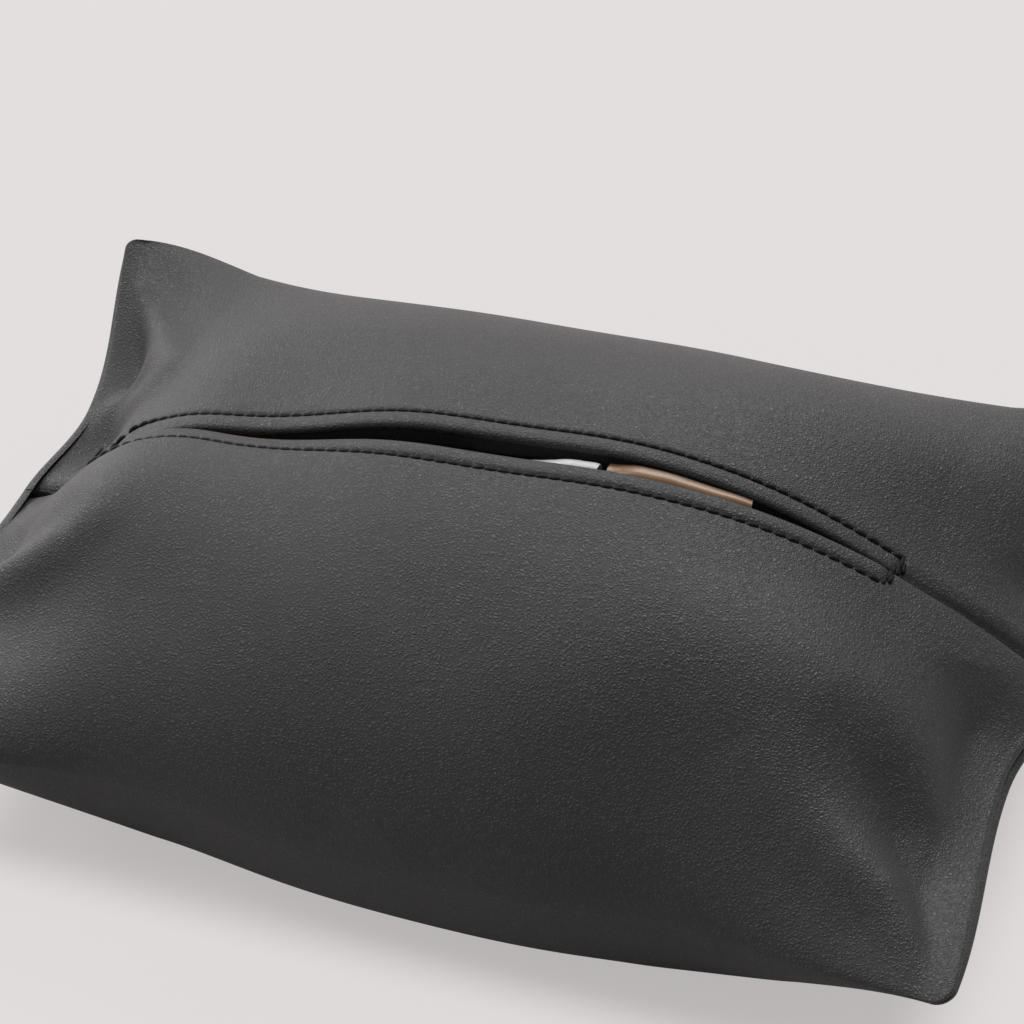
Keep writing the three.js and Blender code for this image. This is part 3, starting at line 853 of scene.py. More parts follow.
def make_panel(side, name):
    loops = panel_loops(side)
    piece = grid_on_points(name, loops)
    outer_count = len(outer_row(side, 0.0, math.pi / 2))
    lining = np.zeros((loops.shape[0] - 1, loops.shape[1] - 1), dtype=np.int32)
    lining[:, outer_count:-1] = 1
    piece.data.polygons.foreach_set("material_index", lining.ravel())
    close_and_face_out(piece)
    return piece


front_leather = make_panel(-1, "front_leather")
rear_leather = make_panel(1, "rear_leather")
for piece in (front_leather, rear_leather):
    print(piece.name, "faces", len(piece.data.polygons))

# %% [markdown]
# The base has a refill opening. A block as wide as the opening is subtracted from each panel with
# a Boolean modifier, which leaves clean edges for the flap to close into.

# %% Cut the refill opening
flap_gap = 0.3 * mm
half_opening = flap_high.x + flap_gap
opening_front = flap_low.y - flap_gap
opening_rear = flap_high.y + flap_gap
cut_reach = 5 * mm

front_low, front_high = (-half_opening, opening_front, -cut_reach), (half_opening, cut_reach, cut_reach)
rear_low, rear_high = (-half_opening, -cut_reach, -cut_reach), (half_opening, opening_rear, cut_reach)
cut_block(front_leather, front_low, front_high)
cut_block(rear_leather, rear_low, rear_high)
for piece in (front_leather, rear_leather):
    smooth_by_angle(piece, degrees=50)
    print(piece.name, "faces after the cut", len(piece.data.polygons))
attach(front_leather, "pouch")
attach(rear_leather, "pouch")
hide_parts("front_panel")
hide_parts("rear_panel")

# %% [markdown]
# The leather is a soft coated one. Its grain is made of small raised pebbles under a millimetre
# across, drawn out of round by finer noise, with flat tops and narrow valleys. The bump reads the
# object's own coordinates, so the grain has the same size all over the pouch.

# %% Leather material
leather_dark = (0.0205, 0.019, 0.021, 1)
leather_light = (0.0292, 0.0272, 0.0296, 1)
lining_dark = (0.008, 0.008, 0.008, 1)
lining_light = (0.013, 0.012, 0.013, 1)
pebbles_per_metre = 1300
pebble_wander = 1.5 * mm
pebble_depth = 0.16 * mm
fine_depth = 0.08 * mm
drape_depth = 0.25 * mm
valley_tone = 0.82
pebble_tone = 1.06


def leather_material(name, dark, light, roughness_low, roughness_high):
    material, tree, place = new_material(name)
    wander = add_node(tree, "TexNoise", "Color", Vector=place, Scale=620, Detail=1.5)
    centred = add_node(tree, "VectorMath", "Vector", [wander, (0.5, 0.5, 0.5)], operation="SUBTRACT")
    pulled = add_node(
        tree, "VectorMath", "Vector", [centred, 3 * (pebble_wander,), place], operation="MULTIPLY_ADD"
    )
    edges = add_node(
        tree, "TexVoronoi", "Distance", feature="DISTANCE_TO_EDGE", Vector=pulled, Scale=pebbles_per_metre
    )
    tops = add_node(
        tree, "MapRange", "Result", Value=edges, From_Min=0.0, From_Max=0.42,
        interpolation_type="SMOOTHSTEP",
    )
    fine = add_node(tree, "TexNoise", "Fac", Vector=place, Scale=2600, Detail=3, Roughness=0.65)
    drape = add_node(tree, "TexNoise", "Fac", Vector=place, Scale=130, Detail=2, Distortion=0.6)
    grain = add_bump(tree, tops, strength=0.66, distance=pebble_depth)
    grain = add_bump(tree, fine, strength=0.35, distance=fine_depth, Normal=grain)
    grain = add_bump(tree, drape, strength=0.5, distance=drape_depth, Normal=grain)
    clouds = add_node(tree, "TexNoise", "Fac", Vector=place, Scale=28, Detail=4, Roughness=0.6)
    colour = tint(tree, clouds, dark, light, start=0.32, end=0.72)
    tone = add_node(tree, "MapRange", "Result", Value=tops, To_Min=valley_tone, To_Max=pebble_tone)
    toned = add_node(tree, "VectorMath", "Vector", operation="SCALE", Vector=colour, Scale=tone)
    gloss = add_node(tree, "MapRange", "Result", Value=tops, To_Min=roughness_high, To_Max=roughness_low)
    set_shader(tree, Base_Color=toned, Roughness=gloss, Normal=grain)
    return material


leather_finish = leather_material("black grained leather", leather_dark, leather_light, 0.45, 0.6)
lining_finish = leather_material("leather back", lining_dark, lining_light, 0.8, 0.9)
for piece in (front_leather, rear_leather):
    piece.data.materials.append(leather_finish)
    piece.data.materials.append(lining_finish)
print("leather:", leather_finish.name, "and", lining_finish.name)

# %% [markdown]
# The slit's hems are the same leather, turned under and rolled once more, so that no raw edge
# shows. The front one lies flat under its lip. The rear one has dropped a little with use, and
# closes the view into the pouch. Each is a strip swept along the slit.

# %% Hems of the slit
hem_reach = 7 * mm
hem_thickness = 1.2 * mm
hem_past_slit = 1.5 * mm
front_hem_drop = 2 * lip_radius + 0.35 * mm
rear_hem_drop = 6.2 * mm
hem_bend_radius = 1.6 * mm
hem_front_share = 1.02
hem_back_share = 0.82
hem_start_share = 1.1
hem_tail_gap = 0.1 * mm
hem_steps = 9
hem_rows = 130
hem_fade_from = 9 * mm
hem_fade_run = 10 * mm
hem_end_share = 0.6
hem_waver = 0.3 * mm
hem_waver_below = -3 * mm
hem_waver_size = 17 * mm


def along_at(x):
    along = np.asarray(x) / half_length
    for _ in range(4):
        along = along - (skin_x(along, 0 * along, seam_roll, 0.0) - x) / half_length
    return along


def lip_place(side, x):
    """The top of the lip's roll, with the relief of the top left out."""
    along = along_at(x)
    return top_skin(side, along, np.zeros_like(along))


def hem_section(side):
    """Places round the hem: how far back from the lip's front, and how far below its top."""
    drop = rear_hem_drop if side > 0 else front_hem_drop
    bend = np.linspace(math.pi, math.pi / 2 * 3, hem_steps)
    radius = min(hem_bend_radius, drop - lip_radius)
    back = lip_radius * (hem_front_share - hem_back_share) + radius
    outside = [(back + radius * math.cos(a), -drop + radius + radius * math.sin(a)) for a in bend]
    end_z = -2 * lip_radius - hem_thickness - hem_tail_gap
    free = np.linspace(math.pi / 2 * 3, math.pi / 2 * 5, hem_steps)
    half = hem_thickness / 2
    tail = [(hem_reach + half * math.cos(a), end_z + half + half * math.sin(a)) for a in free]
    start = [(outside[0][0], -lip_radius * hem_start_share)]
    return np.array(start + outside + tail)


def hem_row(side, section, x, place):
    waver = hem_waver * noise.noise(Vector((x / hem_waver_size, side * 3.0, 0)))
    fade = 1 - smooth(clamp01((abs(place[0]) - half_slit + hem_fade_from) / hem_fade_run))
    row = np.zeros((len(section) + 1, 3))
    row[:-1, 0] = place[0]
    row[:-1, 1] = place[1] + side * (section[:, 0] - lip_radius)
    deep = section[:, 1] * lerp(hem_end_share, 1.0, fade) + waver * (section[:, 1] < hem_waver_below)
    row[:-1, 2] = place[2] + deep
    row[-1] = row[0]
    return row


def make_hem(side, name):
    section = hem_section(side)
    places = np.linspace(-half_slit - hem_past_slit, half_slit + hem_past_slit, hem_rows)
    rows = [hem_row(side, section, x, lip) for x, lip in zip(places, lip_place(side, places))]
    first, last = (np.repeat(row[:-1].mean(0)[None], len(row), axis=0) for row in (rows[0], rows[-1]))
    piece = grid_on_points(name, np.array([first] + rows + [last]))
    close_and_face_out(piece)
    return piece


for side, name, node in ((-1, "front_hem", "front_slit_hem"), (1, "rear_hem", "rear_slit_hem")):
    hem = make_hem(side, name)
    smooth_by_angle(hem, degrees=50)
    finish_with(hem, lining_finish)
    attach(hem, "pouch")
    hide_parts(node)
    print(name, "faces", len(hem.data.polygons))

# %% [markdown]
# The topstitching is one stitch, copied. A stitch is a short piece of bonded thread, thick in its
# middle, that rises from one hole and sinks into the next. It is modelled from a sphere, whose
# rings are drawn out along the thread and bent over. Each copy is set on the leather along the
# groove, turned a little off the line as lockstitches are.

# %% One stitch
thread_thickness = 1.1 * mm
stitch_length = 3.05 * mm
stitch_rise = 0.32 * mm
stitch_sink = 0.1 * mm
stitch_slant = 9
slant_spread = 10
slant_size = 2 * mm
blunt_power = 6
fullest_end = 1.6
ply_depth_share = 0.1
ply_turns = 2.5
left_lift = 0.4 * mm
left_lift_from = -78 * mm
left_lift_run = 8 * mm
step_along = 0.5 * mm
step_across = 0.02


def model_stitch():
    bpy.ops.mesh.primitive_uv_sphere_add(
        segments=8, ring_count=8, radius=0.5, rotation=(0, math.pi / 2, 0)
    )
    stitch = newly_added("one_stitch")
    for vertex in stitch.data.vertices:
        x, y, z = vertex.co
        blunt_end = math.sqrt(max(0.0, 1 - (2 * x) ** blunt_power))
        round_end = max(1e-6, math.sqrt(max(1e-9, 1 - (2 * x) ** 2)))
        fuller = min(blunt_end / round_end, fullest_end)
        arch = stitch_rise * (1 - (2 * x) ** 2) - stitch_sink
        ply = 1 + ply_depth_share * math.cos(math.tau * ply_turns * x + 2 * math.atan2(z, y))
        vertex.co.x = x * stitch_length
        vertex.co.y = y * thread_thickness * fuller * ply
        vertex.co.z = z * thread_thickness * fuller * ply + arch
    return stitch


def top_point(side, x, across):
    along = along_at(np.array([x]))
    spread = np.array([across])
    top = top_skin(side, along, spread)
    top[:, 2] += top_relief(side, top[:, 0], spread)
    top[:, 2] += body_relief(side, top, float(along[0]), spread)[0]
    return Vector(top[0])


def on_top(side, x, away):
    """A place on the leather's top, its normal, and the direction along the slit."""
    across = (away - lip_radius) / half_width
    ahead, behind = (top_point(side, x + step, across) for step in (step_along, -step_along))
    forward = (ahead - behind).normalized()
    far = top_point(side, x, across + step_across)
    near = top_point(side, x, max(0.0, across - step_across))
    up = forward.cross((far - near).normalized() * side).normalized()
    return top_point(side, x, across), (-up if up.z < 0 else up), forward


def set_stitch(original, here, up, forward, slant, number):
    turn = Matrix.Rotation(math.radians(slant), 3, up)
    basis = Matrix((turn @ forward, turn @ up.cross(forward), up)).transposed().to_4x4()
    lift = left_lift * clamp01((left_lift_from - here.x) / left_lift_run)
    basis.translation = here + up * float(lift)
    stitch = copy_of(original, f"stitch_{number}")
    stitch.data.transform(basis)
    return stitch


one_stitch = model_stitch()
stitches = []
for side in (-1, 1):
    line_length = stitched_to(side) - stitched_left
    count = round(line_length / stitch_pitch)
    for number in range(count):
        x = stitched_left + (number + 0.5) * line_length / count
        here, up, forward = on_top(side, x, float(line_offset(side, x)))
        next_x = x + step_along
        ahead = on_top(side, next_x, float(line_offset(side, next_x)))[0] - here
        forward = (ahead - up * ahead.dot(up)).normalized()
        turned = stitch_slant + slant_spread * noise.noise(Vector((x / slant_size, side, 0.3)))
        stitches.append(set_stitch(one_stitch, here, up, forward, turned, len(stitches)))
print("stitches on the long sides", len(stitches))

# %% [markdown]
# The short sides cross the seam, so their stitches run across it. The sewer goes there and back,
# which leaves a doubled row.

# %% Stitches of the short sides
cross_slant = 8

# Per end and panel, in mm: from the slit, and shifted along it
short_rows = {
    (-1, -1): ((1.4, 0), (3.7, 0), (5.9, 0.1)),
    (-1, 1): ((0.9, 0), (3.0, 0.3)),
    (1, -1): ((0.4, 0.5), (1.4, 0), (3.7, 0.1), (2.4, 0.9)),
    (1, 1): ((1.2, 0.2), (3.6, -0.2), (2.4, 0.8)),
}
for (end, side), row in short_rows.items():
    for away, shift in row:
        x = stitched_left if end < 0 else float(leaning_side(side, away * mm))
        here, up, forward = on_top(side, x + shift * mm, away * mm)
        outward = up.cross(forward)
        stitches.append(set_stitch(one_stitch, here, up, outward, cross_slant * side, len(stitches)))
bpy.data.objects.remove(one_stitch)
topstitching = join_pieces(stitches, "slit_topstitching")
smooth_by_angle(topstitching, degrees=60)
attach(topstitching, "pouch")
print("topstitching faces", len(topstitching.data.polygons))

# %% [markdown]
# The thread is black, bonded and nearly matt. A fine diagonal wave gives it the twist of its plies,
# both as a tone and as a bump.

# %% Thread material
thread_dark = (0.0015, 0.0015, 0.0015, 1)
thread_light = (0.0045, 0.0045, 0.005, 1)
ply_depth = 0.12 * mm


def thread_material():
    material, tree, place = new_material("bonded black thread")
    twist = add_node(
        tree, "TexWave", "Fac", bands_direction="DIAGONAL", Vector=place, Scale=1500, Distortion=3,
        Detail=1,
    )
    colour = tint(tree, twist, thread_dark, thread_light, start=0, end=1)
    plies = add_bump(tree, twist, strength=0.6, distance=ply_depth)
    set_shader(tree, Base_Color=colour, Normal=plies, Roughness=0.55, Specular_IOR_Level=0.2)
    return material


thread_finish = thread_material()
finish_with(topstitching, thread_finish)
print("thread:", thread_finish.name)

# %% [markdown]
# Inside the pouch is a soft pack: a tan film wrapped tightly round folded tissues. It is a brick
# with every edge rounded, so it starts from a sphere. Each vertex is pushed out towards the brick
# by a power law, then the film is crumpled by a ridged noise. Its tear-open slot is cut through
# the top, where the tissues come out.

# %% Rounded brick
pack_power = 4
pack_top = 56.2 * mm
film_thickness = 0.3 * mm
crumple_depth = 1.0 * mm
crumple_size = 15 * mm
crumple_sharpness = 2.2
fine_crumple_share = 0.35
fine_crumples = 2.3
fine_crumple_shift = Vector((7, 3, 1))


def signed_power(value, power):
    return np.sign(value) * np.abs(value) ** power


def brick_from_sphere(name, length, width, low, high, segments, rings):
    bpy.ops.mesh.primitive_uv_sphere_add(segments=segments, ring_count=rings, radius=1)
    piece = newly_added(name)
    ball = np.array([vertex.co for vertex in piece.data.vertices])
    latitude = np.arcsin(np.clip(ball[:, 2], -1, 1))
    turn = np.arctan2(ball[:, 1], ball[:, 0])
    power = 2 / pack_power
    spread = np.abs(np.cos(latitude)) ** power
    brick = np.stack([
        length / 2 * spread * signed_power(np.cos(turn), power),
        width / 2 * spread * signed_power(np.sin(turn), power),
        (low + high) / 2 + (high - low) / 2 * signed_power(np.sin(latitude), power),
    ], -1)
    return piece, brick


def crumple(places):
    """How far each place moves out. It is never more than nothing, so the film only sinks."""
    moved = []
    for place in places:
        spot = Vector(place) / crumple_size
        ridge = 1 - abs(noise.noise(spot)) * crumple_sharpness
        fine = 1 - abs(noise.noise(spot * fine_crumples + fine_crumple_shift)) * crumple_sharpness
        moved.append(crumple_depth * (lerp(ridge, fine, fine_crumple_share) - 1))
    return np.array(moved)


wrapper, brick = brick_from_sphere(
    "pack_wrapper", 2 * film_high.x, 2 * film_high.y, film_low.z, pack_top, segments=128, rings=72
)
centre = np.array([0, 0, (film_low.z + pack_top) / 2])
direction = brick - centre
direction /= np.linalg.norm(direction, axis=1)[:, None]
set_places(wrapper, brick + direction * crumple(brick)[:, None])
print("wrapper vertices", len(wrapper.data.vertices))

# %% [markdown]
# The film gets its thickness with a Solidify modifier. The slot that was torn open is a cylinder,
# drawn out along the pack and made ragged along its edge, and cut out of the top.

# %% Film thickness and tear-open slot
slot_length = 104 * mm
slot_width = 15 * mm
slot_depth = 20 * mm
slot_round = 3 * mm
slot_raggedness = 0.7 * mm
rag_length = 1.6 * mm
rag_width = 4 * mm

apply_modifier(wrapper, "SOLIDIFY", thickness=film_thickness, offset=-1)
bpy.ops.mesh.primitive_cylinder_add(
    vertices=72, radius=slot_width / 2, depth=slot_depth, location=(0, crown_offset, pack_top)
)
slot_cutter = newly_added("slot_cutter")
stretch = (slot_length - slot_width) / 2
for vertex in slot_cutter.data.vertices:
    x, y = vertex.co.xy
    vertex.co.x += math.copysign(stretch * min(1, abs(x) / slot_round), x)
    vertex.co.y += slot_raggedness * noise.noise(Vector((x / rag_length, y / rag_width, 0)))
cut_away(wrapper, slot_cutter)
print("wrapper faces", len(wrapper.data.polygons))

# %% [markdown]
# Where the film was torn, a strip of it still stands up into the slit. It comes from the rear of
# the tear, bends forward under the rear lip, and lies against the front one, so a tan strip shows
# in the right half of the slit and stops abruptly.

# %% Torn strip of film
strip_start = 23 * mm
strip_end = 53 * mm
strip_columns = 46
strip_rows = 60
strip_slant = 2.6 * mm
strip_settling = 1.2 * mm
strip_settled_share = 0.25
strip_waver = 0.25 * mm
strip_waver_size = 6 * mm

# The strip's path, in mm: first from the tear's rear edge, then as a share of the slit's half
# width, a shift from there, a depth below the crown, and whether the place settles and wavers
tear_path = ((0.2, -0.9), (-1.5, 1.2))
slit_path = (
    (1, 0.6, 9, 0, 0), (1, -0.5, 5.2, 0, 0), (1, -0.3, 2.6, 1, 0), (0.78, 0, 1.15, 1, 1),
    (0.05, 0, 0.7, 1, 1), (-1, 0.8, 0.7, 1, 1), (-1, 0.3, 1.9, 1, 0),
)
# Painted shade on the strip, as shares of its path: full dark brown up to the first, tan from the second
painted_shade_full_to = 0.79
painted_shade_gone_from = 0.97


def strip_line(x):
    along = along_at(np.array([x]))
    lip = top_skin(-1, along, np.array([0.0]))[0]
    crown = lip[2]
    drift = float(crown_drift(along)[0])
    edge = float(slit_edge(np.array([x]))[0])
    share = clamp01((x - strip_start) / (strip_end - strip_start))
    settle = strip_settling * (1 - smooth(clamp01(share / strip_settled_share)))
    waver = strip_waver * noise.noise(Vector((x / strip_waver_size, 0.4, 2)))
    path = [(drift + slot_width / 2 + y * mm, pack_top + z * mm) for y, z in tear_path]
    for edge_share, y, depth, settles, wavers in slit_path:
        z = crown - depth * mm - settles * settle + wavers * waver
        path.append((drift + edge_share * edge + y * mm, z))
    return path


def smooth_path(points, count):
    """A smooth line of count places along the points, by rounding its corners three times."""
    line = np.array(points)
    for _ in range(3):
        first, last = line[:1], line[-1:]
        low = 0.75 * line[:-1] + 0.25 * line[1:]
        high = 0.25 * line[:-1] + 0.75 * line[1:]
        line = np.concatenate([first, np.stack([low, high], 1).reshape(-1, line.shape[1]), last])
    lengths = np.concatenate([[0], np.cumsum(np.linalg.norm(np.diff(line, axis=0), axis=1))])
    even = np.linspace(0, lengths[-1], count)
    return np.stack([np.interp(even, lengths, line[:, k]) for k in range(line.shape[1])], -1)


def make_strip():
    rows = []
    for x in np.linspace(strip_start, strip_end, strip_columns):
        path = smooth_path(strip_line(x), strip_rows)
        shares = np.linspace(0, 1, strip_rows)
        slant = strip_slant * (1 - shares) * (x - strip_start) / (strip_end - strip_start)
        rows.append(np.stack([x - slant, path[:, 0], path[:, 1]], -1))
    strip = grid_on_points("film_strip", np.array(rows))
    across_strip = np.tile(np.linspace(0, 1, strip_rows), strip_columns)
    # The strip's rear part is painted dark brown as painted shade for the shadow under the rear lip,
    # fading to tan at its front edge
    painted_shade = smooth(clamp01((painted_shade_gone_from - across_strip) / (painted_shade_gone_from - painted_shade_full_to)))
    strip.data.attributes.new("painted_shade", "FLOAT", "POINT").data.foreach_set("value", painted_shade)
    apply_modifier(strip, "SOLIDIFY", thickness=film_thickness, offset=0)
    return strip


film_strip = make_strip()
wrapper = join_pieces([wrapper, film_strip], "pack_wrapper")
close_and_face_out(wrapper, doubled_within / 4)
smooth_by_angle(wrapper, degrees=45)
print("wrapper with its strip:", len(wrapper.data.polygons), "faces")

# %% [markdown]
# The film is tan. The torn strip carries painted shade: it is painted dark brown where it comes up out
# of the pack and lies in the shadow under the rear lip, and turns tan towards its lit free edge. How
# much painted shade there is is a value on the strip's vertices, and a soft mottle breaks the change.
# Creases and fine ripples are bumps, because the film is thin and satin.

# %% Film material
film_tan = (0.33, 0.2, 0.1, 1)
film_shade = (0.25, 0.143, 0.07, 1)
# Dark brown painted on the torn strip as painted shade, for its shadow under the rear lip
film_painted_shade_brown = (0.085, 0.04, 0.018, 1)
film_mottle = 0.5
crease_depth = 0.5 * mm
ripple_depth = 0.1 * mm


def film_material():
    material, tree, place = new_material("tan wrapper film")
    cloud = add_node(tree, "TexNoise", "Fac", Vector=place, Scale=90, Detail=3)
    # The strip's vertex value is painted shade: it mixes the dark brown in where the strip lies under the
    # rear lip
    painted_shade = add_node(tree, "Attribute", "Fac", attribute_name="painted_shade")
    mottled = add_node(tree, "Math", "Value", [cloud, film_mottle, painted_shade], operation="MULTIPLY_ADD")
    shade_amount = add_node(
        tree, "MapRange", "Result", Value=mottled, From_Min=film_mottle / 2, From_Max=1 + film_mottle / 2
    )
    band = add_node(
        tree, "Mix", "Result", data_type="RGBA", Factor=shade_amount, B=film_painted_shade_brown,
        A=tint(tree, cloud, film_shade, film_tan, start=0.3, end=0.6),
    )
    creases = add_node(
        tree, "TexVoronoi", "Distance", feature="DISTANCE_TO_EDGE", Vector=place, Scale=160
    )
    ripples = add_node(tree, "TexNoise", "Fac", Vector=place, Scale=900, Detail=3)
    relief = add_bump(tree, creases, strength=0.25, distance=crease_depth)
    relief = add_bump(tree, ripples, strength=0.3, distance=ripple_depth, Normal=relief)
    set_shader(tree, Base_Color=band, Normal=relief, Roughness=0.36)
    return material


finish_with(wrapper, film_material())
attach(wrapper, "pouch")
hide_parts("tissue_pack_film")
print("film:", wrapper.data.materials[0].name)

# %% [markdown]
# The stack is many folded tissues. One leaf is modelled from a cylinder whose rim is pushed out to
# a rounded rectangle and bevelled. It gets a slot for the next tissue and is copied. Each copy is
# drawn in by the film round it, some a little more than others. The lowest one rests a little
# above the film's underside, so that no crumple of the film reaches through it.

# %% Stack of tissues
stack_low, stack_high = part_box("tissue_stack")
stack_rest = 1.8 * mm
stack_bottom = stack_low.z + stack_rest
leaf_count = 24
leaf_inset = 1.6 * mm
leaf_fill_share = 0.985
leaf_rim_share = 0.3
film_room = 0.6 * mm
widest_out = 0.97
pocket_front = -0.4 * mm
pocket_rear = 7.4 * mm
pocket_left = -46.5 * mm
pocket_right = 22.5 * mm
kept_half_length = pocket_right + 26 * mm
kept_half_width = 9 * mm
drawn_in_share = 0.008
leaf_wave = 0.16 * mm
leaf_wave_size = 22 * mm


def model_leaf(thickness):
    bpy.ops.mesh.primitive_cylinder_add(vertices=96, radius=1, depth=thickness)
    leaf = newly_added("one_leaf")
    power = 2 / pack_power
    for vertex in leaf.data.vertices:
        turn = math.atan2(vertex.co.y, vertex.co.x)
        vertex.co.x = float(signed_power(np.cos(turn), power)) * (stack_high.x - leaf_inset)
        vertex.co.y = float(signed_power(np.sin(turn), power)) * (stack_high.y - leaf_inset)
    select_all(leaf, "SELECT")
    bpy.ops.mesh.bevel(offset=leaf_rim_share * thickness, segments=3, affect="EDGES")
    bpy.ops.object.mode_set(mode="OBJECT")
    cut_block(leaf, (pocket_left, pocket_front, -thickness), (pocket_right, pocket_rear, thickness))
    return leaf


def lay_leaf(leaf, number, height):
    """Draws a leaf in to the rounded pack at its height. Round the pocket it keeps its place."""
    pack_middle = (film_low.z + pack_top) / 2
    out = abs(height - pack_middle) / ((pack_top - film_low.z) / 2 - film_room)
    spread = (1 - min(out, widest_out) ** pack_power) ** (1 / pack_power)
    keep = 1 - drawn_in_share * abs(noise.noise(Vector((number * 1.7, 0.5, 0))))
    shape = Matrix.Diagonal((spread * keep, spread * keep, 1, 1))
    for vertex in leaf.data.vertices:
        if abs(vertex.co.x) >= kept_half_length or abs(vertex.co.y) >= kept_half_width:
            vertex.co = shape @ vertex.co
        spot = Vector((vertex.co.x / leaf_wave_size, vertex.co.y / leaf_wave_size, 0))
        vertex.co.z += height + leaf_wave * noise.noise(spot)


leaf_thickness = (stack_high.z - stack_bottom) / leaf_count
one_leaf = model_leaf(leaf_thickness * leaf_fill_share)
leaves = [copy_of(one_leaf, f"leaf_{number}") for number in range(leaf_count)]
for number, leaf in enumerate(leaves):
    lay_leaf(leaf, number, stack_bottom + (number + 0.5) * leaf_thickness)
bpy.data.objects.remove(one_leaf)
stack = join_pieces(leaves, "folded_tissues")
smooth_by_angle(stack, degrees=40)
print("leaves", leaf_count, "faces", len(stack.data.polygons))

# %% [markdown]
# The next tissue stands up from the stack into the slit. It is soft paper gathered by the fingers
# that pulled the last one out, so it is a sheet with uneven upright folds, narrow at its tuft.

# %% Next tissue
tissue_low, tissue_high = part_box("top_tissue")
tissue_columns = 96
tissue_rows = 84
tuft_width = 27 * mm
tuft_centre = 7.5 * mm
tuft_left = -3 * mm
tuft_peak = 18 * mm
tuft_depth = -0.5 * mm
tuft_droop = 3.0 * mm
tuft_raggedness = 0.3 * mm
tuft_rags = 3
broad_fold = 0.85 * mm
broad_fold_length = 15 * mm
broad_fold_phase = 0.6
narrow_fold = 0.3 * mm
narrow_folds = 4.3
narrow_fold_lean = 2.2
crumpled_fold = 0.2 * mm
crumples_across = 5
crumples_up = 6
calm_share = 0.9
calm_from = 16 * mm
calm_run = 10 * mm
tissue_thickness = 0.28 * mm

# How the sheet rises, in mm: a share of the slit's half width, a shift from there, a depth below
# the crown, and whether the tuft's droop lowers the place
tuft_path = (
    (0, 0, 16, 0), (0, 0.5, 9, 0), (1, -0.9, 7, 1), (1, -0.8, 4, 1), (0, 1.1, 2.7, 1),
    (-1, 1.25, 2.2, 1), (-1, 0.8, 2.8, 1),
)


def tissue_column(share):
    """One upright line of the sheet, at share -1 to 1 of its width."""
    low_x = share * (tissue_high.x - tissue_low.x) / 2 + (tissue_high.x + tissue_low.x) / 2
    top_x = share * tuft_width / 2 + tuft_centre
    lip = top_skin(-1, along_at(np.array([top_x])), np.array([0.0]))[0]
    edge = float(slit_edge(np.array([top_x]))[0])
    rising = smooth(clamp01((top_x - tuft_left) / (tuft_peak - tuft_left)))
    ragged = tuft_raggedness * noise.noise(Vector((share * tuft_rags, 3, 0)))
    droop = tuft_droop * (1 - rising) + ragged + tuft_depth
    crown = lip[2]
    path = [(0.0, tissue_low.z)]
    for edge_share, y, depth, droops in tuft_path:
        path.append((edge_share * edge + y * mm, crown - depth * mm - droops * droop))
    points = []
    for y, z in smooth_path(path, tissue_rows + 1):
        level = clamp01((z - tissue_low.z) / (crown - tissue_low.z))
        x = lerp(low_x, top_x, smooth(level))
        fold = broad_fold * math.sin(math.tau * x / broad_fold_length + broad_fold_phase)
        fold += narrow_fold * math.sin(math.tau * share * narrow_folds + narrow_fold_lean * level)
        fold += crumpled_fold * noise.noise(Vector((share * crumples_across, level * crumples_up, 1)))
        calm = 1 - calm_share * smooth(clamp01((z - crown + calm_from) / calm_run))
        points.append([x, y + fold * calm + float(crown_drift(x / half_length)), z])
    return points


def make_next_tissue():
    columns = [tissue_column(share) for share in np.linspace(-1, 1, tissue_columns + 1)]
    sheet = grid_on_points("next_tissue", np.array(columns))
    apply_modifier(sheet, "SOLIDIFY", thickness=tissue_thickness, offset=0)
    smooth_by_angle(sheet, degrees=70)
    return sheet


next_tissue = make_next_tissue()
print("next tissue faces", len(next_tissue.data.polygons))

# %% [markdown]
# Tissue paper is soft and matt. Both its colours are painted a little grey, as painted shade for the
# shadow of the slit. Fibres show as a fine mottle, and the creping of the machine as faint bands.

# %% Tissue material
# Greyer than white tissue: painted shade for the shadow of the slit
shaded_paper_white = (0.64, 0.635, 0.64, 1)
shaded_paper_fibre = (0.55, 0.545, 0.55, 1)
paper_relief = 0.05 * mm


def tissue_material():
    material, tree, place = new_material("soft tissue paper")
    fibres = add_node(tree, "TexNoise", "Fac", Vector=place, Scale=1300, Detail=5, Roughness=0.7)
    crepe = add_node(
        tree, "TexWave", "Fac", bands_direction="Z", Vector=place, Scale=900, Distortion=4, Detail=2
    )
    relief = add_bump(tree, crepe, strength=0.25, distance=paper_relief)
    relief = add_bump(tree, fibres, strength=0.5, distance=paper_relief, Normal=relief)
    colour = tint(tree, fibres, shaded_paper_fibre, shaded_paper_white, start=0.35, end=0.6)
    set_shader(tree, Base_Color=colour, Normal=relief, Roughness=0.92, Sheen_Weight=0.2)
    return material


paper = tissue_material()
for piece, node, body in ((stack, "tissue_stack", "pouch"), (next_tissue, "top_tissue", "tissue")):
    finish_with(piece, paper)
    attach(piece, body)
    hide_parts(node)
print("paper:", paper.name)

# %% [markdown]
# A new pack goes in through the base. The flap there is a plain cut of the same leather. It starts
# from a cube. Its two free corners are rounded and its rims are bevelled as skived leather is,
# then holes are cut for the posts of the press studs.

# %% Base flap
flap_corner = 6 * mm
rim_softness = 0.32 * mm
stud_x = 38 * mm
stud_y = 0.0
post_hole = 1.8 * mm
hole_overrun = 1 * mm


def select_edges(piece, wanted):
    select_all(piece, "DESELECT")
    bpy.ops.mesh.select_mode(type="EDGE")
    bpy.ops.object.mode_set(mode="OBJECT")
    places = [vertex.co for vertex in piece.data.vertices]
    for edge in piece.data.edges:
        edge.select = wanted(*(places[end] for end in edge.vertices))
    bpy.ops.object.mode_set(mode="EDIT")


def bevel_edges(piece, wanted, offset, segments):
    select_edges(piece, wanted)
    bpy.ops.mesh.bevel(offset=offset, segments=segments, affect="EDGES")
    bpy.ops.object.mode_set(mode="OBJECT")


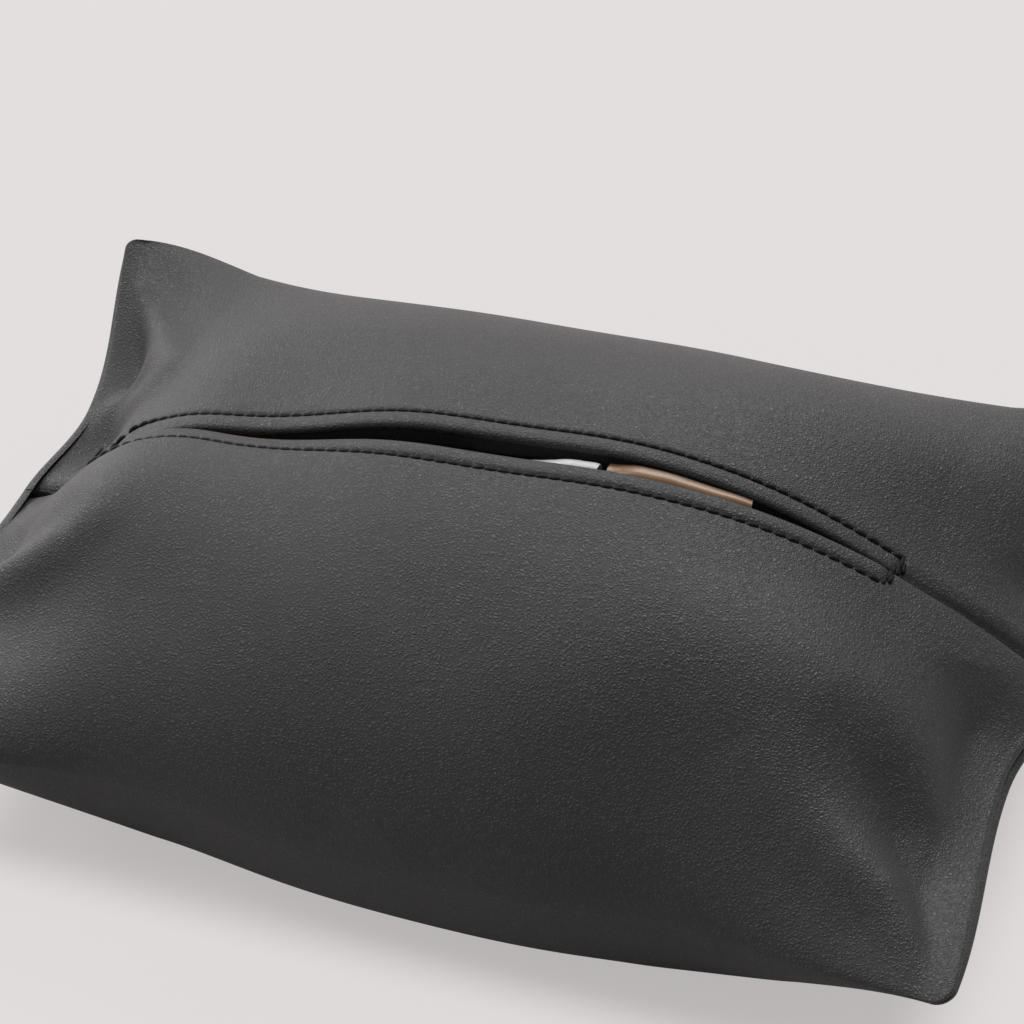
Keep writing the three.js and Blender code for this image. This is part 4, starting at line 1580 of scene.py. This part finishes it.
def model_flap():
    middle = (flap_low + flap_high) / 2
    bpy.ops.mesh.primitive_cube_add(size=1, location=middle, scale=flap_high - flap_low)
    piece = newly_added("refill_flap")
    bevel_edges(
        piece, lambda a, b: abs(a.z - b.z) > leather / 2 and a.y > 0 and b.y > 0,
        offset=flap_corner, segments=10,
    )
    bevel_edges(
        piece, lambda a, b: (a.z - middle.z) * (b.z - middle.z) > 0, offset=rim_softness, segments=3
    )
    for x in (-stud_x, stud_x):
        cut_hole(piece, x, stud_y, post_hole, flap_low.z - hole_overrun, flap_high.z + hole_overrun)
    smooth_by_angle(piece, degrees=40)
    return piece


def line_inner_faces(piece):
    """Gives leather to the grained side, which faces down here, and its back to the other."""
    finish_with(piece, leather_finish, lining_finish)
    for face in piece.data.polygons:
        face.material_index = 1 if face.normal.z > 0.5 else 0


refill_flap = model_flap()
line_inner_faces(refill_flap)
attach(refill_flap, "flap")
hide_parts("base_flap")
print("flap faces", len(refill_flap.data.polygons))

# %% [markdown]
# The flap closes on an underlap, a strip of leather sewn inside the opening's rear edge. It steps
# up over the flap and carries the studs. A strip like this is one section swept along its length.

# %% Underlap
underlap_thickness = 1.2 * mm
sewn_from = 20 * mm
bend_from = 12 * mm
edge_steps = 6
end_steps = ((0, 0.35), (0.2 * mm, 0.8), (0.6 * mm, 1.0))
straight_from = 3 * mm
underlap_steps = 40
hole_low = 5 * mm
hole_high = 9 * mm


def underlap_height(y):
    share = smooth(clamp01((sewn_from - y) / (sewn_from - bend_from)))
    return lerp(underlap_low.z, underlap_high.z - underlap_thickness, share)


def underlap_section():
    half = underlap_thickness / 2
    places = np.linspace(underlap_low.y + half, underlap_high.y - half, underlap_steps)
    heights = underlap_height(places) + half
    turn = np.linspace(math.pi / 2, math.pi * 3 / 2, edge_steps + 1)[1:-1]
    top = list(zip(places, heights + half))
    bottom = list(zip(places, heights - half))
    rear = [(places[-1] - half * math.cos(a), heights[-1] + half * math.sin(a)) for a in turn]
    front = [(places[0] + half * math.cos(a), heights[0] + half * math.sin(a)) for a in turn]
    return np.array(top + rear + bottom[::-1] + front[::-1])


def close_ends(piece):
    select_all(piece, "SELECT")
    bpy.ops.mesh.remove_doubles(threshold=doubled_within)
    bpy.ops.mesh.select_all(action="DESELECT")
    bpy.ops.mesh.select_mode(type="EDGE")
    bpy.ops.mesh.select_non_manifold()
    bpy.ops.mesh.edge_face_add()
    bpy.ops.mesh.select_all(action="SELECT")
    bpy.ops.mesh.normals_make_consistent(inside=False)
    bpy.ops.object.mode_set(mode="OBJECT")


def make_underlap():
    section = underlap_section()
    reach = underlap_high.x
    left_end = [(-reach + inwards, keep) for inwards, keep in end_steps]
    straight_to = reach - straight_from
    straight = [(x, 1.0) for x in np.linspace(-straight_to, straight_to, underlap_steps)]
    right_end = [(-x, keep) for x, keep in left_end[::-1]]
    middle_line = underlap_height(section[:, 0]) + underlap_thickness / 2
    places = []
    for x, keep in left_end + straight + right_end:
        heights = middle_line + (section[:, 1] - middle_line) * keep
        row = np.stack([np.full(len(section), x), section[:, 0], heights], -1)
        places.append(np.concatenate([row, row[:1]]))
    piece = grid_on_points("underlap_strip", np.array(places))
    close_ends(piece)
    for x in (-stud_x, stud_x):
        cut_hole(piece, x, stud_y, post_hole, hole_low, hole_high)
    smooth_by_angle(piece, degrees=40)
    return piece


underlap_strip = make_underlap()
line_inner_faces(underlap_strip)
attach(underlap_strip, "pouch")
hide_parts("base_underlap")
print("underlap faces", len(underlap_strip.data.polygons))

# %% [markdown]
# The flap's hinge is a thin strip of leather, sewn across the joint on the inside, which bends
# when the flap swings. It belongs half to the pouch and half to the flap.

# %% Hinge strip
hinge_y = flap_low.y - flap_gap / 2
hinge_reach = 6 * mm
hinge_low = flap_high.z + 0.12 * mm
hinge_rim = 0.2 * mm
hinge_thickness = 0.7 * mm
hinge_half_length = 72 * mm


def make_hinge_strip():
    place = (0, hinge_y, hinge_low + hinge_thickness / 2)
    size = (2 * hinge_half_length, 2 * hinge_reach, hinge_thickness)
    bpy.ops.mesh.primitive_cube_add(size=1, location=place, scale=size)
    strip = newly_added("hinge_strip")
    select_edges(strip, lambda a, b: abs(a.y - b.y) > hinge_reach)
    bpy.ops.mesh.subdivide(number_cuts=23)
    bpy.ops.object.mode_set(mode="OBJECT")
    apply_modifier(strip, "BEVEL", width=hinge_rim, segments=2, limit_method="ANGLE")
    smooth_by_angle(strip, degrees=40)
    return strip


hinge_strip = make_hinge_strip()
finish_with(hinge_strip, leather_finish)
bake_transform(hinge_strip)
print("hinge strip faces", len(hinge_strip.data.polygons))

# %% [markdown]
# Three rows of stitches hold these strips: one on the front panel, one along the flap's hinge side
# and round its free edges, and one behind the opening. They lie on the grained side, which faces
# down here, so each stitch is turned over. The flap's rows ride with the flap.

# %% Stitches of the base
base_pitch = 2.9 * mm
flap_margin = 3.2 * mm
flap_outer = flap_low.z
flap_row_from_hinge = 3.2 * mm
base_row_from_hinge = 2.4 * mm
row_corner = 3 * mm
row_start = 2 * mm
rear_row_y = 24 * mm
base_row_reach = 71 * mm
base_slant = 6


def stitch_row(original, start, end, up, first_number):
    start, end = Vector(start), Vector(end)
    run = end - start
    count = max(1, round(run.length / base_pitch))
    made = []
    for number in range(count):
        here = start + run * ((number + 0.5) / count)
        made.append(set_stitch(original, here, up, run.normalized(), base_slant, first_number + number))
    return made


one_stitch = model_stitch()
down = Vector((0, 0, -1))
side_x = flap_high.x - flap_margin
rear_y = flap_high.y - flap_margin
hinge_row = hinge_y + flap_row_from_hinge
flap_rows = [
    ((-side_x, hinge_row, flap_outer), (side_x, hinge_row, flap_outer)),
    ((side_x, hinge_row + row_start, flap_outer), (side_x, rear_y - row_corner, flap_outer)),
    ((side_x - row_corner, rear_y, flap_outer), (-side_x + row_corner, rear_y, flap_outer)),
    ((-side_x, rear_y - row_corner, flap_outer), (-side_x, hinge_row + row_start, flap_outer)),
]
flap_stitches = []
for start_place, end_place in flap_rows:
    flap_stitches += stitch_row(one_stitch, start_place, end_place, down, len(flap_stitches))
flap_stitching = join_pieces(flap_stitches, "flap_stitching")

base_stitches = []
for row_y in (rear_row_y, hinge_y - base_row_from_hinge):
    begin, finish = (-base_row_reach, row_y, hollow_rise), (base_row_reach, row_y, hollow_rise)
    base_stitches += stitch_row(one_stitch, begin, finish, down, len(base_stitches))
base_stitching = join_pieces(base_stitches, "base_stitching")
bpy.data.objects.remove(one_stitch)
for piece, body in ((flap_stitching, "flap"), (base_stitching, "pouch")):
    smooth_by_angle(piece, degrees=60)
    finish_with(piece, thread_finish)
    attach(piece, body)
    print(piece.name, "faces", len(piece.data.polygons))

# %% [markdown]
# The press studs are turned metal, plated dark. The frame already has their shapes, so each is
# copied, its loose triangles are merged, and its sharp rims are broken with a small bevel that
# catches the light.

# %% Press studs
stud_bevel = 0.12 * mm
stud_dark = (0.055, 0.055, 0.06, 1)
stud_worn = (0.12, 0.12, 0.125, 1)
scratch_depth = 0.02 * mm


def stud_material():
    material, tree, place = new_material("dark plated studs")
    wear = add_node(tree, "TexNoise", "Fac", Vector=place, Scale=420, Detail=4, Roughness=0.6)
    gloss = add_node(tree, "MapRange", "Result", Value=wear, To_Min=0.22, To_Max=0.42)
    scratches = add_node(tree, "TexNoise", "Fac", Vector=place, Scale=2400, Detail=3)
    relief = add_bump(tree, scratches, strength=0.2, distance=scratch_depth)
    colour = tint(tree, wear, stud_dark, stud_worn, start=0.4, end=0.75)
    set_shader(tree, Base_Color=colour, Roughness=gloss, Normal=relief, Metallic=1.0)
    return material


stud_finish = stud_material()
stud_bodies = {"snap_cap": "flap", "snap_socket": "flap", "snap_stud": "pouch", "snap_post": "pouch"}
for kind, body in stud_bodies.items():
    for hand in ("left", "right"):
        node = f"{kind}_{hand}"
        turned = copy_of(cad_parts[node], f"turned_{node}")
        turned.parent = None
        turned.matrix_world = Matrix.Identity(4)
        close_and_face_out(turned, doubled_within / 2)
        apply_modifier(turned, "BEVEL", width=stud_bevel, segments=2, limit_method="ANGLE")
        smooth_by_angle(turned, degrees=35)
        finish_with(turned, stud_finish)
        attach(turned, body)
        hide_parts(node)
        print(turned.name, "faces", len(turned.data.polygons))
